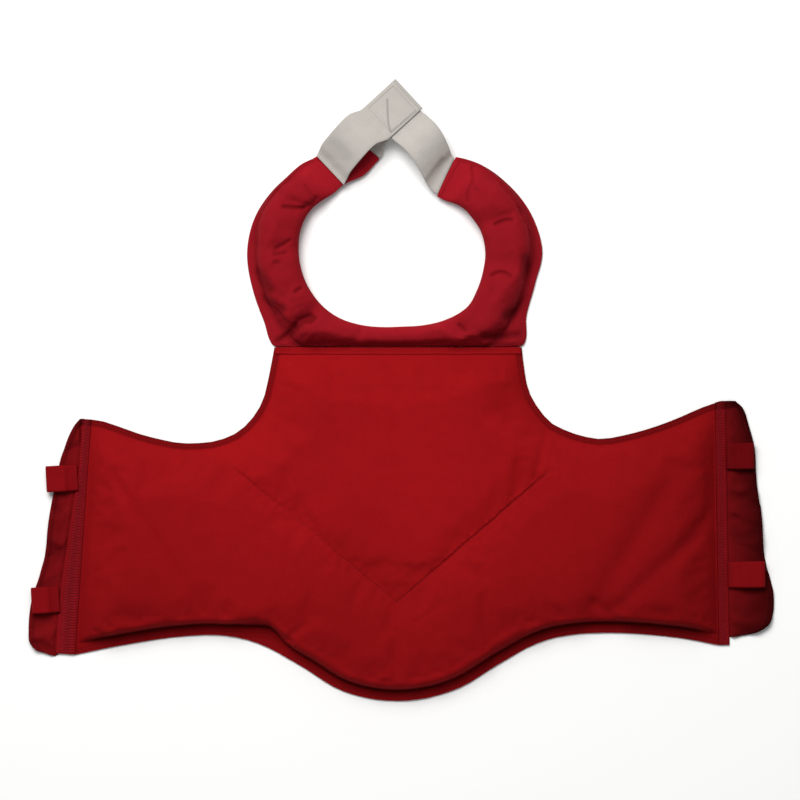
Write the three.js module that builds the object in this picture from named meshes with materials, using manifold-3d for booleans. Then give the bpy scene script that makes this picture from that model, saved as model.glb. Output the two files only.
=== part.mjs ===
// Padded chest protector, lying flat with its front up: a padded panel with two wings, a stuffed
// collar ring, webbing belt loops on cloth side flaps, and elastic neck straps that cross behind the neck.
//
// While it is built, x runs from the left wing to the right one as seen from above, y runs up from the
// seam between panel and collar, and z rises from the surface that it lies on. Lengths are millimetres.

import * as THREE from 'three';
import { mergeVertices } from 'three/addons/utils/BufferGeometryUtils.js';
import Module from 'manifold-3d';

const wasm = await Module();
wasm.setup();

// Gap that sewn pieces keep from each other
const clearance = 0.3;

// Panel
const bibWidth = 247;
const armholeReach = 57;
const leftWingLength = 126;
const rightWingLength = 136;
const wingTopDrop = 96;
const wingBottomDrop = 289;
const bellyDrop = 64;
const leftEndLean = 16;
const rightEndLean = 4;
const panelThickness = 24;
const panelEdgeThickness = 2.5;
const panelEdgeWidth = 9;
const panelEndLip = 2;
const lowerPadSlope = 13;
const upperPadSlope = 28;
const endPadSlope = 26;
const foldDepth = 4;
const foldWidth = 15;
const seamGrooveWidth = 8;
const seamGrooveDepth = 6;
const grooveHeadroom = 6;

// Collar
const neckRadius = 93;
const neckOffset = -6;
const neckRise = 95;
const collarWidth = 43;
const collarHeight = 30;
const collarEdgeWidth = 12;
const collarEdgeThickness = 2.5;
const collarTipThickness = 4;
const collarTipLift = 5;
const collarSeamLip = 1.2;
const collarFoot = 0.98;
const collarEdgeShare = 0.4;

// Strip sewn over the seam between collar and panel
const seamStripWidth = 7;
const seamStripThickness = 1.2;

// Side flaps with their stitched bands
const bandThickness = 2;
const leftBandWidth = 20;
const rightBandWidth = 11;
const flapThickness = 2;
const leftFlapReach = 28;
const rightFlapReach = 44;
const wrinkleHeight = 4;

// Webbing belt loops
const loopWidth = 26;
const loopReach = 36;
const loopThickness = 1.6;
const loopRise = 9;
const loopRoot = 3;
const loopShoulder = 0.4;

// Elastic neck straps
const strapWidth = 40;
const strapThickness = 1.8;
const crossingRise = 237;
const crossingHeading = 42.4;
const crossingHeight = 22;
const strapArch = 11;

// Top edge of each wing, from the armhole out to the panel's end:
// out as a share of the wing's length, down as a share of the wing top's drop
const leftWingTop = [
  { out: 0.14, down: 1.0 },
  { out: 0.3, down: 1.0 },
  { out: 0.46, down: 0.96 },
  { out: 0.62, down: 0.905 },
  { out: 0.78, down: 0.83 },
  { out: 0.92, down: 0.77 },
  { out: 1.0, down: 0.755 },
];
const rightWingTop = [
  { out: 0.16, down: 0.958 },
  { out: 0.31, down: 0.927 },
  { out: 0.46, down: 0.875 },
  { out: 0.6, down: 0.812 },
  { out: 0.75, down: 0.729 },
  { out: 0.9, down: 0.635 },
  { out: 1.0, down: 0.585 },
];

// Armholes, from the bib's corner down and out: out as a share of the armhole's reach
const leftArmhole = [
  { out: 0, down: 0 },
  { out: 0.05, down: 0.16 },
  { out: 0.11, down: 0.34 },
  { out: 0.2, down: 0.55 },
  { out: 0.36, down: 0.72 },
  { out: 0.64, down: 0.885 },
  { out: 1.0, down: 0.975 },
];
const rightArmhole = [
  { out: 0, down: 0 },
  { out: 0.04, down: 0.2 },
  { out: 0.12, down: 0.45 },
  { out: 0.29, down: 0.635 },
  { out: 0.54, down: 0.8 },
  { out: 0.85, down: 0.885 },
  { out: 1.0, down: 0.917 },
];

// Lower edge from left to right: across as a share of the panel's half width on that side,
// drop as a share of the belly's drop below the wings
const lowerEdge = [
  { across: -1.0, drop: 0.29 },
  { across: -0.88, drop: 0.165 },
  { across: -0.68, drop: 0.01 },
  { across: -0.54, drop: -0.01 },
  { across: -0.43, drop: 0.12 },
  { across: -0.3, drop: 0.47 },
  { across: -0.18, drop: 0.84 },
  { across: -0.055, drop: 1.0 },
  { across: 0.07, drop: 0.985 },
  { across: 0.195, drop: 0.8 },
  { across: 0.32, drop: 0.42 },
  { across: 0.44, drop: 0.1 },
  { across: 0.54, drop: -0.02 },
  { across: 0.69, drop: -0.05 },
  { across: 0.88, drop: 0.03 },
  { across: 1.0, drop: 0.14 },
];

// How the padding rises from the panel's flat sewn edge, steeply at the lower edge and softly at the
// others: steep and soft are shares of the pad's slope there
const padSteps = [
  { steep: 0, soft: 0, rise: 0 },
  { steep: 0.08, soft: 0.22, rise: 0.36 },
  { steep: 0.3, soft: 0.48, rise: 0.7 },
  { steep: 0.62, soft: 0.76, rise: 0.92 },
  { steep: 1, soft: 1, rise: 1 },
];

// Soft folds in the padding: depth and width as shares of the fold's, across and down as shares of half
// the panel's width and of its drop
const panelFolds = [
  {
    depth: 0.6,
    width: 0.6,
    line: [
      { across: -0.88, down: 0.36 },
      { across: -0.79, down: 0.49 },
      { across: -0.68, down: 0.64 },
      { across: -0.6, down: 0.75 },
    ],
  },
  {
    depth: 1,
    width: 1,
    line: [
      { across: 0.87, down: 0.35 },
      { across: 0.71, down: 0.58 },
      { across: 0.6, down: 0.76 },
    ],
  },
  {
    depth: 1,
    width: 0.87,
    line: [
      { across: 0.97, down: 0.47 },
      { across: 0.83, down: 0.61 },
      { across: 0.67, down: 0.75 },
    ],
  },
  {
    depth: 0.6,
    width: 0.6,
    line: [
      { across: 0.43, down: 0.26 },
      { across: 0.47, down: 0.35 },
    ],
  },
];

// The stitched V across the front, and how deep its groove is along each arm from the wing to the point
const seamStartLeft = { across: -0.515, down: 0.335 };
const seamStartRight = { across: 0.465, down: 0.355 };
const seamPoint = { across: -0.003, down: 0.722 };
const seamDepths = [
  { along: 0, deep: 0.15 },
  { along: 0.12, deep: 0.9 },
  { along: 0.4, deep: 0.6 },
  { along: 0.65, deep: 0.8 },
  { along: 0.85, deep: 1 },
  { along: 1, deep: 0.8 },
];

// Collar sections from the left tip round the neck to the right tip. turn is in degrees from straight
// down, skew is the extra turn of the outer edge, inner, tube and edge are shares of the neck radius,
// the collar's width and its sewn edge's width, fill is how full the padding is, lift is how far the
// section is raised towards the height of the tips. The left strap is sewn to the section marked strap.
const collarSections = [
  { turn: -173, skew: 11, inner: 1.01, tube: 0.58, edge: 0.08, fill: 0, lift: 0.3 },
  { turn: -160, skew: 7, inner: 0.877, tube: 0.93, edge: 0.08, fill: 0, lift: 0.6 },
  { turn: -144, skew: 2.3, inner: 0.888, tube: 0.88, edge: 0.08, fill: 0, lift: 1, strap: true },
  { turn: -135, skew: 1, inner: 0.887, tube: 0.98, edge: 0.1, fill: 0.12, lift: 0.9 },
  { turn: -126, skew: 1, inner: 0.93, tube: 0.96, edge: 0.12, fill: 0.62, lift: 0.4 },
  { turn: -117, skew: 0, inner: 0.98, tube: 0.96, edge: 0.15, fill: 0.92, lift: 0 },
  { turn: -104, skew: 0, inner: 1.006, tube: 1.0, edge: 0.4, fill: 1, lift: 0 },
  { turn: -90, skew: 0, inner: 1.0, tube: 0.98, edge: 0.8, fill: 1, lift: 0 },
  { turn: -75, skew: 0, inner: 0.985, tube: 0.98, edge: 0.86, fill: 1, lift: 0 },
  { turn: -62, skew: 0, inner: 0.964, tube: 1.0, edge: 1.05, fill: 0.96, lift: 0 },
  { turn: -50.9, skew: 0, inner: 0.942, tube: 1.04, edge: 1.55, fill: 0.9, lift: 0 },
  { turn: -38, skew: 0, inner: 0.905, tube: 1.0, edge: 0.8, fill: 0.72, lift: 0 },
  { turn: -24, skew: 0, inner: 0.855, tube: 1.0, edge: 0.2, fill: 0.54, lift: 0 },
  { turn: -8, skew: 0, inner: 0.815, tube: 1.0, edge: 0.2, fill: 0.46, lift: 0 },
  { turn: 8, skew: 0, inner: 0.81, tube: 1.0, edge: 0.2, fill: 0.46, lift: 0 },
  { turn: 24, skew: 0, inner: 0.86, tube: 1.0, edge: 0.2, fill: 0.54, lift: 0 },
  { turn: 38, skew: 0, inner: 0.927, tube: 1.0, edge: 0.8, fill: 0.72, lift: 0 },
  { turn: 53.6, skew: 0, inner: 1.0, tube: 1.02, edge: 2.0, fill: 0.9, lift: 0 },
  { turn: 65, skew: 0, inner: 1.0, tube: 0.99, edge: 1.06, fill: 0.96, lift: 0 },
  { turn: 78, skew: 0, inner: 0.998, tube: 1.0, edge: 0.88, fill: 1, lift: 0 },
  { turn: 90, skew: 0, inner: 1.0, tube: 1.09, edge: 0.86, fill: 1, lift: 0 },
  { turn: 103, skew: 0, inner: 0.976, tube: 1.1, edge: 0.6, fill: 1, lift: 0 },
  { turn: 112, skew: 0, inner: 0.935, tube: 1.12, edge: 0.4, fill: 1, lift: 0 },
  { turn: 120, skew: 1, inner: 0.903, tube: 1.1, edge: 0.2, fill: 0.92, lift: 0 },
  { turn: 127, skew: 2, inner: 0.852, tube: 1.1, edge: 0.15, fill: 0.55, lift: 0.4 },
  { turn: 134, skew: 3, inner: 0.793, tube: 1.1, edge: 0.1, fill: 0.1, lift: 0.9 },
  { turn: 141.2, skew: 5.2, inner: 0.765, tube: 0.97, edge: 0.08, fill: 0, lift: 1 },
];

// Round stuffed section of the collar: out as a share of the tube's width, up as a share of its height
const collarProfile = [
  { out: 0.2, up: 0 },
  { out: 0.05, up: 0.16 },
  { out: 0, up: 0.44 },
  { out: 0.07, up: 0.74 },
  { out: 0.23, up: 0.93 },
  { out: 0.5, up: 1 },
  { out: 0.74, up: 0.9 },
  { out: 0.9, up: 0.64 },
  { out: 0.98, up: 0.34 },
];

// Dents across the collar: turn and width in degrees, depth as a share of the height
const collarDents = [
  { turn: -116, width: 4, depth: 0.16 },
  { turn: -92, width: 4, depth: 0.12 },
  { turn: -53, width: 5, depth: 0.24 },
  { turn: -22, width: 4, depth: 0.1 },
  { turn: 41, width: 5, depth: 0.2 },
  { turn: 83, width: 5, depth: 0.1 },
  { turn: 107, width: 4, depth: 0.14 },
];

// Both sides of the protector: hand is -1 on the left. along runs down the panel's end, wide and reach
// are shares of the band's width and of the flap's reach, rise of the wrinkle height. A loop's reach is
// a share of the longest loop's and its tilt is in degrees.
const sides = [
  {
    name: 'left',
    hand: -1,
    bandWidth: leftBandWidth,
    flapReach: leftFlapReach,
    band: [
      { along: 0, wide: 0.45 },
      { along: 0.2, wide: 0.45 },
      { along: 0.55, wide: 0.8 },
      { along: 0.76, wide: 1 },
      { along: 1, wide: 1 },
    ],
    flap: [
      { along: 0, reach: 0.1 },
      { along: 0.04, reach: 0.32 },
      { along: 0.12, reach: 0.56 },
      { along: 0.25, reach: 0.73 },
      { along: 0.43, reach: 0.78 },
      { along: 0.57, reach: 0.74 },
      { along: 0.69, reach: 0.83 },
      { along: 0.81, reach: 0.99 },
      { along: 0.91, reach: 1 },
      { along: 0.955, reach: 0.95 },
      { along: 0.985, reach: 0.72 },
      { along: 1, reach: 0.3 },
    ],
    wrinkles: [
      { along: 0.08, rise: 0.5, width: 0.04 },
      { along: 0.42, rise: 0.8, width: 0.035 },
      { along: 0.54, rise: 0.9, width: 0.035 },
      { along: 0.92, rise: 0.8, width: 0.03 },
    ],
    loops: [
      { name: 'upper', along: 0.25, reach: 0.8, tilt: 6 },
      { name: 'lower', along: 0.77, reach: 0.75, tilt: 7 },
    ],
  },
  {
    name: 'right',
    hand: 1,
    bandWidth: rightBandWidth,
    flapReach: rightFlapReach,
    band: [
      { along: 0, wide: 1 },
      { along: 1, wide: 1 },
    ],
    flap: [
      { along: 0, reach: 0.24 },
      { along: 0.03, reach: 0.4 },
      { along: 0.1, reach: 0.51 },
      { along: 0.2, reach: 0.63 },
      { along: 0.33, reach: 0.66 },
      { along: 0.46, reach: 0.75 },
      { along: 0.63, reach: 0.81 },
      { along: 0.73, reach: 0.92 },
      { along: 0.8, reach: 1 },
      { along: 0.87, reach: 0.97 },
      { along: 0.92, reach: 0.86 },
      { along: 0.95, reach: 0.58 },
      { along: 0.967, reach: 0.15 },
    ],
    wrinkles: [
      { along: 0.36, rise: 0.7, width: 0.03 },
      { along: 0.46, rise: 0.9, width: 0.035 },
      { along: 0.57, rise: 0.8, width: 0.03 },
      { along: 0.9, rise: 0.7, width: 0.03 },
    ],
    loops: [
      { name: 'upper', along: 0.22, reach: 0.75, tilt: 0 },
      { name: 'lower', along: 0.71, reach: 1, tilt: 0 },
    ],
  },
];

// Straps from the collar to the edge of the crossing: along as a share of the way, aside as a share of
// the strap's width to the left of the way, arch as a share of the strap's arch, turn as a share of the
// twist between the seam on the collar and the crossing
const leftStrapWay = [
  { along: 0, aside: 0, arch: 0, turn: 0 },
  { along: 0.08, aside: 0.04, arch: 0.08, turn: 0.05 },
  { along: 0.19, aside: 0.1, arch: 0.55, turn: 0.15 },
  { along: 0.33, aside: 0.125, arch: 0.88, turn: 0.35 },
  { along: 0.48, aside: 0.14, arch: 1, turn: 0.55 },
  { along: 0.64, aside: 0.15, arch: 0.85, turn: 0.8 },
  { along: 0.78, aside: 0.13, arch: 0.5, turn: 1 },
  { along: 0.9, aside: 0.04, arch: 0.15, turn: 1 },
  { along: 1, aside: 0, arch: 0, turn: 1 },
];
const rightStrapWay = [
  { along: 0, aside: 0, arch: 0, turn: 0 },
  { along: 0.12, aside: 0.02, arch: 0.15, turn: 0.35 },
  { along: 0.24, aside: -0.02, arch: 0.6, turn: 0.55 },
  { along: 0.4, aside: -0.07, arch: 0.95, turn: 0.68 },
  { along: 0.56, aside: -0.1, arch: 1, turn: 0.78 },
  { along: 0.72, aside: -0.09, arch: 0.7, turn: 0.9 },
  { along: 0.88, aside: -0.04, arch: 0.2, turn: 1 },
  { along: 1, aside: 0, arch: 0, turn: 1 },
];
const backStrapWay = [
  { along: 0, aside: 0, arch: 0, turn: 0 },
  { along: 0.25, aside: 0.02, arch: 0, turn: 0.3 },
  { along: 0.5, aside: 0.05, arch: 0, turn: 0.6 },
  { along: 0.83, aside: 0.03, arch: 0, turn: 1 },
  { along: 1, aside: 0, arch: 0, turn: 1 },
];

// How finely the curves are divided
const columns = 62;
const fillRows = 14;
const sectionsPerRow = 2;
const sideRows = 26;
const flapColumns = 4;
const foldSteps = 6;
const grooveSteps = 10;
const loopCurveSegments = 6;
const slideReach = 110;

// Sizes that follow from the ones above
const panelDrop = wingBottomDrop + bellyDrop;
const leftReach = bibWidth / 2 + armholeReach + leftWingLength;
const rightReach = bibWidth / 2 + armholeReach + rightWingLength;
const halfWidth = { left: leftReach + leftEndLean, right: rightReach + rightEndLean };
const neckCentre = new THREE.Vector2(neckOffset, neckRise);
const crossing = new THREE.Vector2(neckOffset, crossingRise);

function toVector3(point) {
  return new THREE.Vector3(point.x, point.y, 0);
}

function toVector2(point) {
  return new THREE.Vector2(point.x, point.y);
}

// Smooth curve through flat points
function curveThrough(points) {
  return new THREE.CatmullRomCurve3(points.map(toVector3), false, 'centripetal');
}

// Value of one column of a table at a share of another, in straight steps
function tableAt(rows, share, key, by = 'along') {
  const last = rows.length - 1;
  let next = rows.findIndex((row) => row[by] >= share);
  if (next < 0) next = last;
  if (next === 0) next = 1;
  const before = rows[next - 1];
  const after = rows[next];
  const part = THREE.MathUtils.clamp((share - before[by]) / (after[by] - before[by]), 0, 1);
  return THREE.MathUtils.lerp(before[key], after[key], part);
}

// Smooth blend of table rows at a fractional row number
function rowAt(rows, place) {
  const last = rows.length - 1;
  const index = Math.min(Math.floor(place), last - 1);
  const part = place - index;
  const around = [index - 1, index, index + 1, index + 2].map((i) => rows[THREE.MathUtils.clamp(i, 0, last)]);
  const blend = {};
  for (const key of Object.keys(rows[0])) {
    const [p0, p1, p2, p3] = around.map((row) => row[key]);
    const slopeIn = (p2 - p0) / 2;
    const slopeOut = (p3 - p1) / 2;
    const square = part * part;
    const cube = square * part;
    blend[key] =
      (2 * cube - 3 * square + 1) * p1 +
      (cube - 2 * square + part) * slopeIn +
      (3 * square - 2 * cube) * p2 +
      (cube - square) * slopeOut;
  }
  return blend;
}

// Geometry from points and triangles, turned so that its faces point out
function closedGeometry(points, triangles) {
  let volume = 0;
  for (const [a, b, c] of triangles) {
    volume += points[a].dot(new THREE.Vector3().crossVectors(points[b], points[c]));
  }
  const faces = volume < 0 ? triangles.map(([a, b, c]) => [a, c, b]) : triangles;
  const geometry = new THREE.BufferGeometry();
  geometry.setFromPoints(points);
  geometry.setIndex(faces.flat());
  geometry.computeVertexNormals();
  return geometry;
}

// Triangles that fill a nearly flat ring of points, wound as the ring is
function fillRing(ring) {
  const normal = new THREE.Vector3();
  ring.forEach((point, i) => {
    const next = ring[(i + 1) % ring.length];
    normal.add(new THREE.Vector3().crossVectors(point, next));
  });
  normal.normalize();
  const side = new THREE.Vector3().subVectors(ring[1], ring[0]);
  side.addScaledVector(normal, -side.dot(normal)).normalize();
  const up = new THREE.Vector3().crossVectors(normal, side);
  const flat = ring.map((point) => new THREE.Vector2(point.dot(side), point.dot(up)));
  const triangles = THREE.ShapeUtils.triangulateShape(flat, []);
  return triangles.map(([a, b, c]) => {
    const first = flat[b].clone().sub(flat[a]);
    const second = flat[c].clone().sub(flat[a]);
    return first.cross(second) > 0 ? [a, b, c] : [a, c, b];
  });
}

// Two triangles of the four-sided face a, b, c, d
function quad(a, b, c, d) {
  return [
    [a, b, c],
    [a, c, d],
  ];
}

// Triangles that all meet in the first of a ring's numbers
function fan(ring) {
  return ring.slice(2).map((number, i) => [ring[0], ring[i + 1], number]);
}

// Skins closed sections of equal point count and closes both ends
function loft(sections) {
  const size = sections[0].length;
  const triangles = [];
  for (let s = 0; s + 1 < sections.length; s += 1) {
    for (let p = 0; p < size; p += 1) {
      const q = (p + 1) % size;
      triangles.push(...quad(s * size + p, s * size + q, (s + 1) * size + q, (s + 1) * size + p));
    }
  }
  const start = (sections.length - 1) * size;
  triangles.push(...fillRing(sections[0]).map(([a, b, c]) => [c, b, a]));
  const cap = fillRing(sections[sections.length - 1]);
  triangles.push(...cap.map((corners) => corners.map((number) => start + number)));
  return closedGeometry(sections.flat(), triangles);
}

// Solid between an upper and a lower grid of points with equal rows and columns
function slab(upper, lower) {
  const rows = upper.length;
  const across = upper[0].length;
  const under = rows * across;
  const triangles = [];
  for (let r = 0; r + 1 < rows; r += 1) {
    for (let c = 0; c + 1 < across; c += 1) {
      const a = r * across + c;
      triangles.push(...quad(a, a + 1, a + across + 1, a + across));
      triangles.push(...quad(under + a, under + a + across, under + a + across + 1, under + a + 1));
    }
  }
  const rim = gridRim(rows, across);
  rim.forEach((a, i) => {
    const b = rim[(i + 1) % rim.length];
    triangles.push(...quad(b, a, under + a, under + b));
  });
  return closedGeometry([...upper.flat(), ...lower.flat()], triangles);
}

// Numbers of a grid's rim points: along the first row, up the last column, back, and down
function gridRim(rows, across) {
  const rim = [];
  for (let c = 0; c < across; c += 1) rim.push(c);
  for (let r = 1; r < rows; r += 1) rim.push(r * across + across - 1);
  for (let c = across - 2; c >= 0; c -= 1) rim.push((rows - 1) * across + c);
  for (let r = rows - 2; r > 0; r -= 1) rim.push(r * across);
  return rim;
}

function toSolid(geometry) {
  const bare = geometry.clone();
  bare.deleteAttribute('normal');
  bare.deleteAttribute('uv');
  const merged = mergeVertices(bare);
  return new wasm.Manifold(
    new wasm.Mesh({
      numProp: 3,
      vertProperties: new Float32Array(merged.attributes.position.array),
      triVerts: new Uint32Array(merged.index.array),
    }),
  );
}

function toGeometry(solid) {
  const mesh = solid.getMesh();
  const geometry = new THREE.BufferGeometry();
  geometry.setAttribute('position', new THREE.BufferAttribute(new Float32Array(mesh.vertProperties), 3));
  geometry.setIndex(new THREE.BufferAttribute(new Uint32Array(mesh.triVerts), 1));
  geometry.computeVertexNormals();
  return geometry;
}

// Place on the panel from shares of its half width and of its drop
function panelPlace({ across, down }) {
  const reach = across < 0 ? halfWidth.left : halfWidth.right;
  return new THREE.Vector2(across * reach, -down * panelDrop);
}

// Upper edge from the bib's corner out to the panel's end, hand -1 for the left
function upperEdge(hand, armhole, wingTop, wingLength) {
  const near = armhole.map(({ out, down }) => ({
    x: hand * (bibWidth / 2 + out * armholeReach),
    y: -down * wingTopDrop,
  }));
  const far = wingTop.map(({ out, down }) => ({
    x: hand * (bibWidth / 2 + armholeReach + out * wingLength),
    y: -down * wingTopDrop,
  }));
  return curveThrough([...near, ...far]);
}

// The panel's two long edges from left to right, with one point each for every column
function panelChains() {
  const left = upperEdge(-1, leftArmhole, leftWingTop, leftWingLength);
  const right = upperEdge(1, rightArmhole, rightWingTop, rightWingLength);
  const whole = left.getLength() + bibWidth + right.getLength();
  const leftSteps = Math.round((columns * left.getLength()) / whole);
  const rightSteps = Math.round((columns * right.getLength()) / whole);
  const bibSteps = columns - leftSteps - rightSteps;
  const bib = curveThrough([
    { x: -bibWidth / 2, y: 0 },
    { x: bibWidth / 2, y: 0 },
  ]);
  const topLines = [
    left.getSpacedPoints(leftSteps).reverse().map(toVector2),
    bib.getSpacedPoints(bibSteps).map(toVector2),
    right.getSpacedPoints(rightSteps).map(toVector2),
  ];
  const top = [...topLines[0], ...topLines[1].slice(1), ...topLines[2].slice(1)];
  const lower = lowerEdge.map(({ across, drop }) => ({
    x: across * (across < 0 ? halfWidth.left : halfWidth.right),
    y: -(wingBottomDrop + drop * bellyDrop),
  }));
  const bottom = curveThrough(lower).getSpacedPoints(columns).map(toVector2);
  return { topLines, top, bottom };
}

// Unit vector a quarter turn to the left of the way from a to b
function leftOf(a, b) {
  const way = b.clone().sub(a).normalize();
  return new THREE.Vector2(-way.y, way.x);
}

// Point at a distance along a line of points
function pointAlong(points, distance) {
  let left = distance;
  for (let i = 0; i + 1 < points.length; i += 1) {
    const step = points[i].distanceTo(points[i + 1]);
    if (left <= step) return points[i].clone().lerp(points[i + 1], left / step);
    left -= step;
  }
  return points[points.length - 1].clone();
}

// Slides the points near both ends of a line inward along it, the end points by the whole distance
function slideEnds(points, startSlide, endSlide) {
  const lengths = [0];
  for (let i = 1; i < points.length; i += 1) {
    lengths.push(lengths[i - 1] + points[i].distanceTo(points[i - 1]));
  }
  const whole = lengths[lengths.length - 1];
  return lengths.map((length) => {
    const fromStart = Math.max(0, 1 - length / slideReach);
    const fromEnd = Math.max(0, 1 - (whole - length) / slideReach);
    return pointAlong(points, length + startSlide * fromStart - endSlide * fromEnd);
  });
}

// Unit vectors into the panel from the first and the last stretch of a line of its outline
function inwardEnds(points, inward) {
  const last = points.length - 1;
  return [
    leftOf(points[0], points[1]).multiplyScalar(inward),
    leftOf(points[last - 1], points[last]).multiplyScalar(inward),
  ];
}

// How far an end of a moved line slides so that it lies at a set depth inside the edge that it meets
function slideInside(depth, normal, along, edgeNormal, edgeDepth) {
  return (edgeDepth - depth * normal.dot(edgeNormal)) / along.dot(edgeNormal);
}

// Lines of the outline, in order, moved into the panel together: edges gives the panel's two ends
function insetChain(lines, inward, edges, depth, endDepth) {
  const ends = lines.map((points) => inwardEnds(points, inward));
  const moved = lines.map((points, n) => {
    const last = points.length - 1;
    const inside = points.map((point, i) => {
      const start = Math.max(i, 1);
      const stop = Math.min(i, last - 1);
      const before = leftOf(points[start - 1], points[start]).multiplyScalar(inward);
      const after = leftOf(points[stop], points[stop + 1]).multiplyScalar(inward);
      const middle = before.clone().add(after).normalize();
      return point.clone().addScaledVector(middle, depth / middle.dot(before));
    });
    if (depth === 0) return inside;
    const forward = points[1].clone().sub(points[0]).normalize();
    const backward = points[last - 1].clone().sub(points[last]).normalize();
    const startEdge = n === 0 ? edges.left : ends[n - 1][1];
    const endEdge = n === lines.length - 1 ? edges.right : ends[n + 1][0];
    const startDepth = n === 0 ? endDepth : depth;
    const stopDepth = n === lines.length - 1 ? endDepth : depth;
    return slideEnds(
      inside,
      slideInside(depth, ends[n][0], forward, startEdge, startDepth),
      slideInside(depth, ends[n][1], backward, endEdge, stopDepth),
    );
  });
  return moved.flatMap((points, n) => (n === 0 ? points : points.slice(1)));
}

// Distance from a place to a bent line
function distanceToLine(place, line) {
  let nearest = Infinity;
  for (let i = 0; i + 1 < line.length; i += 1) {
    const segment = new THREE.Line3(toVector3(line[i]), toVector3(line[i + 1]));
    const closest = segment.closestPointToPoint(toVector3(place), true, new THREE.Vector3());
    nearest = Math.min(nearest, closest.distanceTo(toVector3(place)));
  }
  return nearest;
}

// Height of the padding's top at a place inside the panel
function paddingHeight(place) {
  let height = panelThickness;
  for (const fold of panelFolds) {
    const distance = distanceToLine(place, fold.line.map(panelPlace));
    height -= fold.depth * foldDepth * Math.exp(-((distance / (fold.width * foldWidth)) ** 2));
  }
  return height;
}

// Faces of the flat back, from column to column, by the numbers of the rim's points
function backFaces() {
  const low = (c) => c;
  const high = (c) => 2 * columns + fillRows - c;
  const rightEnd = Array.from({ length: fillRows - 1 }, (_, r) => columns + 1 + r);
  const leftEnd = Array.from({ length: fillRows - 1 }, (_, r) => 2 * columns + fillRows + 1 + r);
  const faces = [
    ...fan([low(1), high(1), high(0), ...leftEnd, low(0)]),
    ...fan([low(columns - 1), low(columns), ...rightEnd, high(columns), high(columns - 1)]),
  ];
  for (let c = 1; c < columns - 1; c += 1) {
    faces.push(...quad(low(c), low(c + 1), high(c + 1), high(c)));
  }
  return faces;
}

// Padded panel: flat sewn edge, padding that rises inside it, flat back
function paddedSlab() {
  const { topLines, top, bottom } = panelChains();
  const edges = {
    left: leftOf(top[0], bottom[0]),
    right: leftOf(bottom[columns], top[columns]),
  };
  const ringAt = (lowerDepth, upperDepth, endDepth) => ({
    bottom: insetChain([bottom], 1, edges, lowerDepth, endDepth),
    top: insetChain(topLines, -1, edges, upperDepth, endDepth),
  });
  const gridOf = (ring, heightAt) => {
    const grid = [];
    for (let r = 0; r <= fillRows; r += 1) {
      grid.push(
        ring.bottom.map((low, c) => {
          const place = low.clone().lerp(ring.top[c], r / fillRows);
          return new THREE.Vector3(place.x, place.y, heightAt(place));
        }),
      );
    }
    return grid;
  };
  const rim = gridRim(fillRows + 1, columns + 1);
  const rimOf = (ring, heightAt) => {
    const points = gridOf(ring, heightAt).flat();
    return rim.map((number) => points[number]);
  };
  const rings = padSteps.map(({ steep, soft, rise }) => {
    const ring = ringAt(
      panelEdgeWidth + steep * lowerPadSlope,
      panelEdgeWidth + soft * upperPadSlope,
      panelEndLip + soft * endPadSlope,
    );
    const heightAt = (place) => THREE.MathUtils.lerp(panelEdgeThickness, paddingHeight(place), rise);
    return { ring, heightAt };
  });
  const inner = rings[rings.length - 1];
  const points = gridOf(inner.ring, inner.heightAt).flat();
  const triangles = [];
  for (let r = 0; r < fillRows; r += 1) {
    for (let c = 0; c < columns; c += 1) {
      const a = r * (columns + 1) + c;
      triangles.push(...quad(a, a + 1, a + columns + 2, a + columns + 1));
    }
  }
  const outer = ringAt(0, 0, 0);
  const loops = rings.slice(0, -1).map(({ ring, heightAt }) => rimOf(ring, heightAt));
  loops.unshift(rimOf(outer, () => panelEdgeThickness));
  loops.unshift(rimOf(outer, () => 0));
  const numbers = loops.map((loop) => {
    const first = points.length;
    points.push(...loop);
    return loop.map((_, i) => first + i);
  });
  numbers.push(rim);
  for (let n = 0; n + 1 < numbers.length; n += 1) {
    rim.forEach((_, i) => {
      const j = (i + 1) % rim.length;
      triangles.push(...quad(numbers[n][i], numbers[n][j], numbers[n + 1][j], numbers[n + 1][i]));
    });
  }
  triangles.push(...backFaces().map(([a, b, c]) => [numbers[0][c], numbers[0][b], numbers[0][a]]));
  return closedGeometry(points, triangles);
}

// Wedge that cuts one arm of the stitched V into the padding
function seamWedge(start) {
  const from = panelPlace(start);
  const to = panelPlace(seamPoint);
  const aside = leftOf(from, to);
  const sections = [];
  for (let s = 0; s <= grooveSteps; s += 1) {
    const share = s / grooveSteps;
    const place = from.clone().lerp(to, share);
    const depth = seamGrooveDepth * tableAt(seamDepths, share, 'deep');
    const half = (seamGrooveWidth / 2) * (1 + grooveHeadroom / depth) * Math.sqrt(depth / seamGrooveDepth);
    const height = paddingHeight(place);
    const left = place.clone().addScaledVector(aside, half);
    const right = place.clone().addScaledVector(aside, -half);
    sections.push([
      new THREE.Vector3(place.x, place.y, height - depth),
      new THREE.Vector3(right.x, right.y, height + grooveHeadroom),
      new THREE.Vector3(left.x, left.y, height + grooveHeadroom),
    ]);
  }
  return loft(sections);
}

function chestPanel() {
  let solid = toSolid(paddedSlab());
  for (const start of [seamStartLeft, seamStartRight]) {
    solid = solid.subtract(toSolid(seamWedge(start)));
  }
  return toGeometry(solid);
}

// Place around the neck at a turn from straight down and a distance from the neck's centre
function neckPlace(turn, distance) {
  const angle = THREE.MathUtils.degToRad(turn);
  return new THREE.Vector2(
    neckCentre.x + Math.sin(angle) * distance,
    neckCentre.y - Math.cos(angle) * distance,
  );
}

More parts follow.
